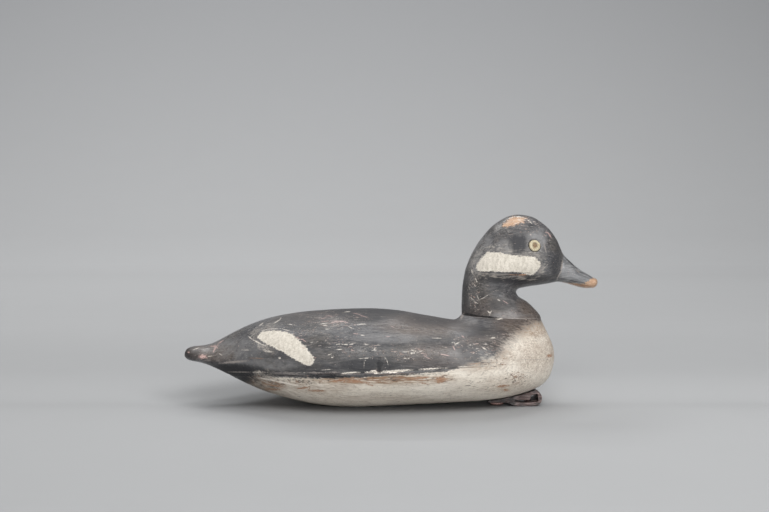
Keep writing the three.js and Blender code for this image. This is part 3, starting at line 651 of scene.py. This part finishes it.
    colour = coats(
        node,
        black,
        (is_white, 0, 1, 1, white),
        (mark["slate"], -0.3, 0.3, 1, slate),
        (is_wood, 0, 1, 0.85, wood),
        (is_chip, 0, 1, 0.58, chip),
        (is_mark, 0, 1, 1, ink),
    )
    rough = node("MapRange", {0: is_white, 3: 0.05, 4: 0.35})
    uneven = node("Mix", {0: 0.5, 2: middle, 3: streak})
    rough = node("Math", {0: uneven, 1: 0.5, 2: rough}, operation="MULTIPLY_ADD")
    rough = node("Mix", {0: node("MapRange", {0: mark["dark"], 4: 0.7}), 2: rough, 3: 0.7})
    rough = node("Mix", {0: is_retouch, 2: rough, 3: 0.6})
    height = 0
    raised = (streak, 0.6), (fine, 0.5), (is_white, 0.5)
    sunk = (is_chip, -0.8), (is_wood, -0.8), (crack, -0.6)
    for pattern, rise in raised + sunk:
        height = node("Math", {0: pattern, 1: rise, 2: height}, operation="MULTIPLY_ADD")
    finish(node, colour, rough, height, 0.12, specular=0.45)
    return material


def eye_paint():
    """Chalky cream paint, yellowed and flaked off to dark rust at the middle of the tack.
    Its texture is 0.6 mm wide, and the flakes are 1.1 mm wide."""
    material, node = new_material("cream paint on an iron tack, worn at the middle")
    even = (1, 1, 1)
    fine, spots = patterns(node, (1.6, even, 3, 0.5, 0, 0), (0.9, even, 3, 0.5, 9, 1))
    ring = node("Attribute", out="Fac", attribute_name="from_middle")
    core = node("Math", {0: spots, 1: 5.0, 2: ring}, operation="MULTIPLY_ADD")
    core = node("MapRange", {0: core, 1: 4.6, 2: 4.0})
    rim = node("Math", {0: spots, 1: ring}, operation="ADD")
    rust = coats(node, "#4a3020", (fine, 0.4, 0.6, 1, "#8d6a45"))
    colour = coats(
        node,
        "#d3caad",
        (fine, 0.4, 0.65, 1, "#ab9d80"),
        (spots, 0.52, 0.62, 0.6, "#94794f"),
        (core, 0, 1, 0.85, rust),
        (rim, 3.9, 4.3, 0.4, "#7c7158"),
    )
    height = node("Math", {0: core, 1: -0.6, 2: fine}, operation="MULTIPLY_ADD")
    finish(node, colour, 0.5, height, 0.2)
    return material


def leather():
    """Dark dull leather with pores 0.45 mm wide and blotches of 4 mm, rubbed paler in streaks
    0.8 mm wide along the strap."""
    material, node = new_material("harness leather, dried and oiled")
    fine, broad, streak = patterns(
        node,
        (2.2, (1, 1, 1), 4, 0.5, 0, 0),
        (0.25, (0.6, 1, 1), 4, 0.5, 0, 0),
        (1.2, (0.15, 1, 1), 3, 0.5, 0, 0),
    )
    colour = coats(
        node,
        "#312a29",
        (broad, 0.42, 0.58, 1, "#5a4744"),
        (streak, 0.5, 0.66, 0.7, "#a08d89"),
        (fine, 0.5, 0.4, 0.5, "#1a1716"),
    )
    height = node("Math", {0: streak, 1: 0.8, 2: fine}, operation="MULTIPLY_ADD")
    finish(node, colour, node("MapRange", {0: broad, 1: 0, 2: 1.4}), height, 0.25)
    return material


def rusty_iron():
    """Pinkish rust in grains of 0.9 mm, rough and matt, with little left of the metal's shine."""
    material, node = new_material("hammered iron tack, rusted")
    (fine,) = patterns(node, (1.1, (1, 1, 1), 5, 0.5, 0, 0))
    colour = coats(node, "#a87f78", (fine, 0.38, 0.62, 1, "#e3bfb6"))
    finish(node, colour, 0.6, fine, 0.4, metal=0.2)
    return material


def sweep_paper():
    """Paper whose grey is graded: a little lighter towards the bend, where less light falls on it,
    as painted light; darker on the floor in front of the decoy; and darker higher up the wall, as
    painted shade. Its fibres are too fine to show, so it is drawn uneven over 50 mm instead."""
    material, node = new_material("seamless paper, matte grey")
    (fine,) = patterns(node, (0.02, (1, 1, 1), 2, 0.5, 0, 0))
    place = node("TexCoord", out="Object")
    depth, height = (node("SeparateXYZ", {0: place}, out=axis) for axis in (1, 2))
    near, floor, bend, wall = (
        coats(node, dark, (fine, 0, 1, 1, light))
        for dark, light in (
            ("#a8a9aa", "#aaabac"),
            ("#b0b1b2", "#b2b3b4"),
            ("#babbbc", "#bcbdbe"),
            ("#b4b5b6", "#b6b7b8"),
        )
    )
    colour = coats(
        node,
        near,
        (depth, 0.1, 0.6, 1, floor),
        (depth, 1.95, 2.45, 1, bend),
        (depth, 2.45, 2.72, 1, wall),
        # Painted shade higher up the wall
        (height, 0.09, 0.7, 1, "#9d9ea0"),
    )
    finish(node, colour, 0.85, fine, 0.05, specular=0.1)
    return material


black_paint = painted_cedar("black oil paint on carved cedar, worn", 0)
white_paint = painted_cedar("white oil paint on carved cedar, stained", 40)


# The body's cross-sections, from the middle of the back (0) round to the underside (pi)
def body_sizes(x):
    tail = (TAIL_START - x) / TAIL_ROUND
    breast = (x - BREAST_START) / BREAST_ROUND
    widest = along(WIDEST_AT, x)
    half = along(HALF_WIDTH, x) * rounded(tail, 2) * rounded(breast, 2.2)
    rise = (along(BACK_AT, x) - widest) * rounded(tail, 6) * rounded(breast, 2.6) ** 1.05
    fall = (widest - along(UNDERSIDE_AT, x)) * rounded(tail, 4) * rounded(breast, 8)
    return half, widest, rise, fall


JOINT_LENGTH = JOINT_FRONT[0] - JOINT_BACK[0]
JOINT_SLOPE = (JOINT_FRONT[1] - JOINT_BACK[1]) / JOINT_LENGTH
NECK_MIDDLE = (JOINT_BACK[0] + JOINT_FRONT[0]) / 2
NECK_HALF_LENGTH = JOINT_LENGTH / 2
# Half of what still shows of the seam, which glue and paint fill
SEAM_OPEN = 0.03
# The lengthwise part of the back that can rise to the neck seat
SEAT_FROM, SEAT_TO = 40, 130
# The length over which the board's rear end tapers to its edge
REAR_TAPER = 25
# How finely the body is meshed: rings along its parts, and points round each of its sides
RINGS = {"tail": 26, "middle": 190, "breast": 84, "rear": 46, "board": 176}
POINTS = {"above": 126, "below": 26, "board": 92}


def joint_plane(x):
    return JOINT_BACK[1] + (x - JOINT_BACK[0]) * JOINT_SLOPE


def seat_height(x, y, z):
    """Raises the back to the neck seat, with a hollow flare round the neck's oval."""
    u = (x - NECK_MIDDLE) / NECK_HALF_LENGTH
    v = y / NECK_HALF_WIDTH
    reach = np.hypot(u, v)
    end = np.where(u > 0, SEAT_FLARE["front"], SEAT_FLARE["back"])
    share = np.abs(u) / np.maximum(np.abs(u) + np.abs(v), 1e-9)
    flare = SEAT_FLARE["side"] + (end - SEAT_FLARE["side"]) * share**1.5
    outside = (1 - 1 / np.maximum(reach, 1e-9)) * np.hypot(x - NECK_MIDDLE, y)
    hold = np.clip(1 - outside / flare, 0, 1) ** 2
    seat = joint_plane(x) + SEAT_OVER
    raised = np.where(reach <= 1, seat, z + np.maximum(0, seat - z) * hold)
    # The joint gapes at the back of the neck and is bridged by paint towards the front.
    gape = 0.03 + 0.4 * smooth(76, 66, x)
    on_top = (x > SEAT_FROM) & (x < SEAT_TO)
    return np.where(on_top, np.minimum(raised, joint_plane(x) - gape), raised)


def section(x, turn):
    half, widest, rise, fall = body_sizes(x)
    lean, height = np.sin(turn), np.cos(turn)
    y = half * np.abs(lean) ** SIDE_FULLNESS
    top = widest + rise * np.abs(height) ** along(EDGE_ABOVE, x)
    low = widest - fall * np.abs(height) ** along(EDGE_BELOW, x)
    return y, np.where(height >= 0, top, low)


def even_turns(x, start, stop, count, tries=400):
    """Turns from start to stop whose points are evenly spread along the section at x."""
    turns = start + (stop - start) * np.linspace(0, 1, tries)
    y, z = section(np.full(tries, x), turns)
    run = np.concatenate([[0], np.cumsum(np.hypot(np.diff(y), np.diff(z)) + 1e-9)])
    return np.interp(np.linspace(0, run[-1], count), run, turns)


def seam_turn(x, height, tries=2000):
    """The turn at which the section at x passes this height below its widest line."""
    turns = np.linspace(math.pi / 2, math.pi, tries)
    z = section(np.full(tries, x), turns)[1]
    if z[-1] >= height:
        return math.pi
    return float(np.interp(-height, -z, turns))


def ring_of(x, turns):
    """Both sides of the body at x for these turns, from one side over to the other."""
    places = np.full(len(turns), x)
    y, z = section(places, turns)
    z = np.where(np.cos(turns) > 1e-9, seat_height(places, y, z), z)
    side = np.stack([places, y, z], 1)
    return np.concatenate([side[1:][::-1] * np.array([1, -1, 1]), side])


def relief(points, *layers):
    """A push along the surface from layers of noise: strength, sizes of patches, and seed."""
    return sum(strength * grain(points, sizes, seed) for strength, sizes, seed in layers)


def zone(spots, name):
    """The strongest of the named ovals at each place seen from the side."""
    best = np.zeros(len(spots))
    for u, v, wide, high, strength in ZONES[name]:
        away = np.hypot((spots[:, 0] - u) / wide, (spots[:, 1] - v) / high)
        best = np.maximum(best, strength * smooth(1, 0.35, away))
    return best


def paint_marks(points, is_head):
    """What the painted pieces' shader reads at each point."""
    spots = side_view(points)

    def inside(outline, here):
        return inside_by(spots, outline) if here else np.full(len(points), -MASK_REACH)

    patch = inside_by(spots, CHEEK if is_head else WING)
    white = np.maximum(patch, inside(BELLY, not is_head))
    at_ends = np.maximum(smooth(40, 62, spots[:, 0]), smooth(-74, -86, spots[:, 0]))
    marks = {
        "white": np.clip(white, -MASK_REACH, MASK_REACH),
        "clean": np.clip(patch + 0.5, 0, 1),
        "soft_edge": smooth(0, -4, patch) * at_ends,
        "slate": inside(BILL, is_head),
        "retouch": inside(RETOUCH, is_head),
        "bare": np.max([inside(outline, is_head) for outline in BARE_WOOD], 0),
        "painted_shade_under_tail": inside(UNDER_TAIL, not is_head),
        **nearest_stroke(spots),
    }
    marks["off"] = np.where(points[:, 1] < 1, marks["off"], FAR_OFF)
    marks.update({name: zone(spots, name) for name in ZONES})
    return marks


def half_body(name, stations, material, poles, upper):
    """The upper block or the lower board: closed rings whose last side is the flat seam."""
    rings = []
    for x in stations:
        seam = seam_turn(x, seam_height(x) + (SEAM_OPEN if upper else -SEAM_OPEN))
        if upper:
            above = even_turns(x, 0, math.pi / 2, POINTS["above"])
            below = even_turns(x, math.pi / 2, seam, POINTS["below"])
            turns = np.concatenate([above, below[1:]])
        else:
            turns = even_turns(x, math.pi, seam, POINTS["board"])
        rings.append(ring_of(x, turns))
    grid = np.array(rings)
    flat = grid.reshape(-1, 3)
    # Carved facets, lengthwise tool strokes and grain
    push = relief(
        flat,
        (0.22, (26, 11, 11), 1),
        (0.1, (9, 5, 5), 2),
        (0.05, (14, 1.3, 1.3), 3),
        (0.03, (2.2, 1.2, 1.2), 4),
    )
    # The seam's edges are worn round, and nothing is pushed across the seam or the joint.
    from_seam = np.abs(flat[:, 2] - seam_height(flat[:, 0])) - SEAM_OPEN
    bridged = smooth(44, 60, flat[:, 0])
    worn = (0.75 + 0.45 * grain(flat, (7, 7, 7), 8)) * (1 - bridged) + 0.12 * bridged
    roll = np.clip(1 - from_seam / worn, 0, 1)
    push -= worn * 0.6 * (1 - np.sqrt(np.maximum(0, 1 - roll**2)))
    moved = flat + grid_normals(grid) * push[:, None]
    if upper:
        on_seat = (flat[:, 0] > SEAT_FROM) & (flat[:, 2] > joint_plane(flat[:, 0]) - 0.5)
        moved[on_seat, 2] = flat[on_seat, 2]
    else:
        floor = np.maximum(bottom_plane(moved[:, 0]), 0)
        moved[:, 2] = np.maximum(moved[:, 2], floor)
    points = np.concatenate([moved, np.array(poles)])
    faces = closed_faces(len(stations), grid.shape[1])
    piece = make_piece(name, points, faces, paint_marks(points, False), material)
    piece.data.validate()
    return piece


def round_end(start, stop, first, rings):
    """Stations that crowd together towards a round end."""
    return start + (stop - start) * np.sin(np.linspace(first, 0.985, rings) * math.pi / 2)


tail_x = round_end(TAIL_START, TAIL_TIP, 0.04, RINGS["tail"])[::-1]
middle_x = np.linspace(TAIL_START, BREAST_START, RINGS["middle"])
breast_x = round_end(BREAST_START, BREAST_TIP, 0.02, RINGS["breast"])
upper_x = np.concatenate([tail_x, middle_x, breast_x])
upper_poles = [(x, 0, along(WIDEST_AT, x)) for x in (TAIL_TIP, BREAST_TIP)]
upper = half_body("body_upper_carved", upper_x, black_paint, upper_poles, True)


def first_cross(start, stop, tries=200001):
    """The first place from start to stop at which the underside is below the seam."""
    places = np.linspace(start, stop, tries)
    under = section(places, np.full(tries, math.pi))[1]
    return places[np.argmax(under < seam_height(places) - SEAM_OPEN)]


rear, fore = first_cross(-125, -90), first_cross(BREAST_TIP, 100)
rear_x = rear + REAR_TAPER * np.linspace(0.02, 1, RINGS["rear"]) ** 2
board_x = np.linspace(rear + REAR_TAPER, BREAST_START, RINGS["board"])[1:]
fore_x = round_end(BREAST_START, fore, 0.02, RINGS["breast"])
lower_x = np.concatenate([rear_x, board_x, fore_x])
lower_poles = [(x, 0, seam_height(x) - SEAM_OPEN) for x in (rear, fore)]
lower = half_body("body_lower_carved", lower_x, white_paint, lower_poles, False)


# Head, neck and bill
def head_points(t, turn, shrink=1.0):
    """Points of the head at a station from 0 to 1, turned from its back line (0) to its front."""
    rows = np.array(HEAD_STATIONS, float)
    read = [along(rows[:, [0, k]], t) for k in range(1, 7)]
    back = np.stack([read[0], np.zeros_like(t), read[1]], -1)
    front = np.stack([read[2], np.zeros_like(t), read[3]], -1)
    line = BILL_LINE["depth"] * np.exp(-(((t - BILL_FROM) / BILL_LINE["width"]) ** 2))
    half = (read[4] - line) * shrink
    square = 1 + (BILL_SQUARENESS - 1) * smooth(BILL_FROM - 0.005, BILL_FROM + 0.003, t)
    side = np.sin(turn)
    middle = (back + front) / 2
    points = middle + (back - middle) * (np.cos(turn) * shrink)[..., None]
    points[..., 1] = half * np.sign(side) * np.abs(side) ** square * (1 - read[5] * np.cos(turn))
    return points


def on_head(x, z):
    """The point of the head's side at (x, z), and the direction that its surface faces."""
    best = (0.6, 1.5)
    step = 0.3
    while step > 1e-4:
        spread = np.linspace(-1, 1, 13) * step
        t, turn = np.meshgrid(
            np.clip(best[0] + spread, 0.01, 0.99),
            np.clip(best[1] + spread * 4, 0.02, 3.12),
            indexing="ij",
        )
        points = head_points(t, turn)
        miss = np.hypot(points[..., 0] - x, points[..., 2] - z)
        k = np.unravel_index(np.argmin(miss), miss.shape)
        best = (t[k], turn[k])
        step /= 3
    d = 0.004
    t, turn = np.array([best[0]]), np.array([best[1]])
    across = head_points(t + d, turn)[0] - head_points(t - d, turn)[0]
    over = head_points(t, turn + d)[0] - head_points(t, turn - d)[0]
    facing = np.cross(across, over)
    facing = facing / np.linalg.norm(facing)
    return head_points(t, turn)[0], facing if facing[1] > 0 else -facing


def make_head(rings=330, around=256, tip_rings=12):
    turn = np.linspace(0, 2 * math.pi, around, endpoint=False)
    grid = head_points(*np.meshgrid(np.linspace(0, 1, rings), turn, indexing="ij"))
    tip = []
    for angle in np.radians(np.linspace(8, 84, tip_rings)):
        ring = head_points(np.full(around, 1.0), turn, math.cos(angle))
        ring[:, 0] += BILL_TIP_ROUND * math.sin(angle)
        tip.append(ring)
    grid = np.concatenate([grid, np.array(tip)])
    flat = grid.reshape(-1, 3)
    push = relief(
        flat,
        (0.2, (11, 11, 14), 21),
        (0.08, (4.5, 4.5, 6), 22),
        (0.03, (1.4, 1.4, 3), 23),
    )
    push *= smooth(0, 2.5, flat[:, 2] - joint_plane(flat[:, 0]))
    moved = flat + grid_normals(grid, closed=True) * push[:, None]
    # A shallow seat for each eye and a cut for each nostril
    nostril = on_head(NOSTRIL["x"], NOSTRIL["z"])[0]
    c, n = math.cos(NOSTRIL["tilt"]), math.sin(NOSTRIL["tilt"])
    for side in (1, -1):
        flip = np.array([1, side, 1])
        away = moved - eye_point * flip
        out = away @ (eye_facing * flip)
        radial = np.linalg.norm(away - out[:, None] * (eye_facing * flip), axis=1)
        depth = np.maximum(out + EYE["sunk"] + GAP, 0) * smooth(4.6, 4.1, radial)
        moved -= (depth * (np.abs(out) < 8))[:, None] * (eye_facing * flip)
        away = moved - nostril * flip
        lengthwise = (away[:, 0] * c - away[:, 2] * n) / (NOSTRIL["length"] / 2)
        across = (away[:, 0] * n + away[:, 2] * c) / (NOSTRIL["width"] / 2)
        bowl = np.sqrt(np.clip(1 - lengthwise**2 - across**2, 0, 1)) * NOSTRIL["width"] / 2
        moved[:, 1] -= side * bowl * (np.sign(moved[:, 1]) == side)
    ends = np.array([0.0, 1.0])
    poles = (head_points(ends, np.zeros(2)) + head_points(ends, np.full(2, math.pi))) / 2
    poles[:, 1] = 0
    poles[1, 0] += BILL_TIP_ROUND
    points = np.concatenate([moved, poles])
    faces = closed_faces(len(grid), around)
    return make_piece("head_carved", points, faces, paint_marks(points, True), black_paint)


eye_point, eye_facing = on_head(EYE["x"], EYE["z"])
head = make_head()


def tack_head(radius, dome, around):
    """Points and faces of a domed tack head about the height axis, its flat back at 0."""
    outline = [(radius * share, 0.0) for share in np.linspace(0.05, 1, 12)]
    for a in np.linspace(0, math.pi / 2, 30)[:-1]:
        outline.append((radius * math.cos(a), dome * (0.3 + 0.7 * math.sin(a))))
    turn = np.linspace(0, 2 * math.pi, around, endpoint=False)
    rings = []
    for out, height in outline:
        ring = [out * np.cos(turn), out * np.sin(turn), np.full(around, height)]
        rings.append(np.stack(ring, 1))
    points = np.concatenate([*rings, [[0, 0, 0], [0, 0, dome]]])
    return points, closed_faces(len(outline), around)


eye_material = eye_paint()
eyes = []
for side, label in ((1, "left"), (-1, "right")):
    points, faces = tack_head(EYE["radius"], EYE["dome"], 64)
    from_middle = np.hypot(points[:, 0], points[:, 1])
    dents = 0.12 * grain(points, (1.6, 1.6, 1.6), 31 + side)
    dents -= 0.35 * smooth(2.0, 0.8, from_middle)
    points[:, 2] += dents * (points[:, 2] > 0.3)
    flip = np.array([1, side, 1])
    facing = eye_facing * flip
    turn = Vector((0, 0, 1)).rotation_difference(Vector(facing)).to_matrix()
    points = points @ np.array(turn).T + eye_point * flip - facing * EYE["sunk"]
    marks = {"from_middle": from_middle}
    eyes.append(make_piece("eye_tack_" + label + "_painted", points, faces, marks, eye_material))

points, faces = tack_head(TACK["radius"], TACK["dome"], 96)
from_middle = np.hypot(points[:, 0], points[:, 1])
dents = 0.25 * grain(points, (2.2, 2.2, 2.2), 35)
points[:, 2] += dents * (points[:, 2] > 0.5) * (from_middle > 0.4)
points[:, 2] = np.minimum(points[:, 2], TACK["dome"])
points = points * np.array([1, -1, -1]) + np.array([TACK["x"], 0, TACK["dome"]])
loop_tack = make_piece("loop_tack_rusted", points, faces, {}, rusty_iron())


# The leather loop
def path(start, *legs, count=14):
    """Points from a start along its legs: the end of each straight one, or the corners of a
    curve of Bezier."""
    line = [np.array([start], float)]
    share = np.linspace(0, 1, count + 1)[1:, None]
    for corners in legs:
        points = [line[-1][-1]] + [np.array(corner, float) for corner in corners]
        if len(points) == 2:
            line.append(points[1][None])
            continue
        while len(points) > 1:
            points = [a * (1 - share) + b * share for a, b in zip(points, points[1:])]
        line.append(points[0])
    return np.concatenate(line)


def loop_outlines():
    def under(x):
        half, widest, rise, fall = body_sizes(np.array([float(x)]))
        return float(max(widest[0] - fall[0], bottom_plane(x)) - GAP)

    def roof(x):
        return under(x) - STRAP["upper"]

    foot_from, foot_to = LOOP["foot"]
    front, nose = LOOP["front"], LOOP["nose"]
    top = TACK["dome"] + GAP
    tack_edge = TACK["x"] + TACK["radius"]
    outer = path(
        (LOOP["back"], top),
        [(tack_edge, top)],
        [(foot_from - 5, top), (foot_from - 4, 0), (foot_from, 0)],
        [(foot_to, 0)],
        [(front - 2, 0.2), (front, 2.2), (front, 5)],
        [(front, 8), (nose + 2.5, under(nose)), (nose, under(nose))],
        *([(x, under(x))] for x in np.arange(nose - 4, LOOP["back"], -5)),
        [(LOOP["back"], under(LOOP["back"]))],
    )

    # The slit between the two layers, and the eye that it widens to
    start = (tack_edge + 3.5, top + 1.5)
    back, corner, shoulder = (LINE_EYE[key] for key in ("back", "corner", "shoulder"))
    bend, floor = front - STRAP["bend"], STRAP["lower"]
    slit = floor + LINE_EYE["slit"]
    brow = roof(bend - shoulder)
    hole = path(
        start,
        [(foot_from - 1, start[1] - 0.3), (foot_from + 1, floor), (foot_from + 5, floor)],
        [(bend - corner, floor)],
        [(bend, floor), (bend, floor + corner)],
        [(bend, brow - shoulder)],
        [(bend, brow), (bend - shoulder, brow)],
        [(back, roof(back))],
        [(back - 0.4, slit), (back - 2, slit)],
        [(foot_from + 3, start[1]), (start[0] + 3, start[1] + 0.3), start],
    )
    return outer, hole[:-1]


# The old strap has warped: on the far side its eye is smaller and higher.
FAR_EYE = {"size": 0.35, "rise": 1.5}


def make_loop(voxel=0.3):
    outer, hole = loop_outlines()
    flat = [[Vector((x, 0, z)) for x, z in line] for line in (outer, hole)]
    triangles = tessellate_polygon(flat)
    both = np.concatenate([outer, hole])
    n = len(both)
    near = np.stack([both[:, 0], np.full(n, -LOOP["width"] / 2), both[:, 1]], 1)
    far = near * np.array([1, -1, 1])
    eye = hole[hole[:, 0] > LINE_EYE["back"] - 0.5]
    centre = (eye.min(0) + eye.max(0)) / 2
    at_eye = (np.arange(n) >= len(outer)) & (both[:, 0] > LINE_EYE["back"] - 0.5)
    warped = centre + FAR_EYE["size"] * (both[at_eye] - centre) + (0, FAR_EYE["rise"])
    far[at_eye, 0], far[at_eye, 2] = warped.T
    faces = [list(tri) for tri in triangles] + [[k + n for k in reversed(tri)] for tri in triangles]
    for start, count in ((0, len(outer)), (len(outer), len(hole))):
        for k in range(count):
            a, b = start + k, start + (k + 1) % count
            faces.append([a, b, b + n, a + n])
    plain = plain_object("loop_plain", np.concatenate([near, far]), faces)
    remesh = plain.modifiers.new("even", "REMESH")
    remesh.mode = "VOXEL"
    remesh.voxel_size = voxel * MM
    relax = plain.modifiers.new("relax", "SMOOTH")
    relax.factor = 0.5
    relax.iterations = 2
    bpy.context.view_layer.update()
    shown = plain.evaluated_get(bpy.context.evaluated_depsgraph_get())
    made = bpy.data.meshes.new_from_object(shown)
    bpy.data.objects.remove(plain)
    points, facing = np.zeros((2, len(made.vertices) * 3), np.float32)
    made.vertices.foreach_get("co", points)
    made.vertices.foreach_get("normal", facing)
    points = points.reshape(-1, 3).astype(float) / MM
    push = relief(points, (0.1, (5, 3, 2), 41), (0.08, (1.6, 0.8, 0.5), 42))
    points += facing.reshape(-1, 3).astype(float) * push[:, None]
    points[:, 2] = np.maximum(points[:, 2], 0)
    faces = [list(face.vertices) for face in made.polygons]
    return make_piece("line_loop_leather", points, faces, {}, leather(), crease=60)


line_loop = make_loop()

for piece, node, slot in (
    (upper, "body_upper", "black_painted_wood"),
    (lower, "body_lower", "white_painted_wood"),
    (head, "head", "black_painted_wood"),
    (eyes[0], "eye_tack_left", "painted_tack"),
    (eyes[1], "eye_tack_right", "painted_tack"),
    (line_loop, "line_loop", "harness_leather"),
    (loop_tack, "loop_tack", "rusty_tack"),
):
    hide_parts(node)
    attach(piece, "root")


# Studio
def make_sweep():
    """Grey paper, level under the decoy, that falls gently to the front and curves up to a wall."""
    depths = np.concatenate([np.linspace(-4, -0.5, 15)[:-1], np.linspace(-0.5, 0.5, 121)])
    depths = np.concatenate([depths, np.linspace(0.5, 2.4, 12)[1:]])
    level = 0.03
    run = np.sqrt(depths**2 + level**2) - level
    steep = np.where(depths < 0, -0.19, 0.27)
    reach = np.where(depths < 0, 0.17, 0.055)
    heights = steep * reach * np.tanh(run / reach) + 0.02 * np.sign(depths) * run
    line = list(zip(depths, heights))
    bend, wall = 0.9, 3.4
    for a in np.linspace(0, math.pi / 2, 24)[1:]:
        line.append((depths[-1] + bend * math.sin(a), heights[-1] + bend * (1 - math.cos(a))))
    line.append((depths[-1] + bend, wall))
    points = [(x, y, z) for y, z in line for x in (-4.0, 4.0)]
    faces = [(2 * k, 2 * k + 1, 2 * k + 3, 2 * k + 2) for k in range(len(line) - 1)]
    sweep = plain_object("sweep", points, faces, unit=1)
    sweep.data.shade_smooth()
    sweep.data.materials.append(sweep_paper())


make_sweep()


def around(turn, lift, away=1.6):
    """A place round the decoy: degrees from the camera's side, degrees up, metres away."""
    turn, lift = math.radians(turn), math.radians(lift)
    level = away * math.cos(lift)
    return (level * math.sin(turn), -level * math.cos(turn), away * math.sin(lift))


# Each softbox: name, where it stands, what it faces, its size and its power
DECOY = (0, 0, 0.03)
SOFTBOX = (0.6, 0.6)
for name, place, target, size, power in (
    ("front", around(0, 32), DECOY, SOFTBOX, 7.6),
    ("front_side", around(30, 30), DECOY, SOFTBOX, 6.3),
    ("front_side_high", around(30, 45), DECOY, SOFTBOX, 4.7),
    ("back_right", around(135, 60), DECOY, SOFTBOX, 1.8),
    ("back_left", around(225, 60), DECOY, SOFTBOX, 4.6),
    ("low_card", around(8, 6, 1.3), DECOY, (1.2, 0.2), 4.2),
    ("above_near", (0, -0.3, 0.9), (0, -0.3, 0), (0.9, 0.7), 0.8),
    ("above", (0, 0, 1.6), (0, 0, 0), (0.7, 0.7), 4.6),
    ("wall_box", (-0.24, 1.5, 2.2), (-0.24, 3, 0.6), (1.4, 0.6), 47),
):
    light = bpy.data.lights.new(name, "AREA")
    light.shape = "RECTANGLE"
    light.size, light.size_y = size
    light.energy = power
    lamp = bpy.data.objects.new(name, light)
    lamp.location = place
    lamp.rotation_euler = (Vector(target) - lamp.location).to_track_quat("-Z", "Y").to_euler()
    bpy.context.scene.collection.objects.link(lamp)

scene = bpy.context.scene
scene.world = bpy.data.worlds.new("studio")
scene.world.use_nodes = True
sky = scene.world.node_tree.nodes["Background"].inputs
sky["Color"].default_value = linear("#ffffff")
sky["Strength"].default_value = 0.17
scene.view_settings.view_transform = "Standard"

camera_data = bpy.data.cameras.new("camera")
camera_data.lens = VIEW["lens"]
camera_data.sensor_width = 36
camera_data.clip_start, camera_data.clip_end = 0.05, 20
camera = bpy.data.objects.new("camera", camera_data)
rise = math.radians(VIEW["rise"])
back = Vector((0, -math.cos(rise), math.sin(rise)))
camera.location = (Vector(VIEW["aim"]) + back * VIEW["distance"]) * MM
camera.rotation_euler = (-back).to_track_quat("-Z", "Y").to_euler()
scene.collection.objects.link(camera)
scene.camera = camera
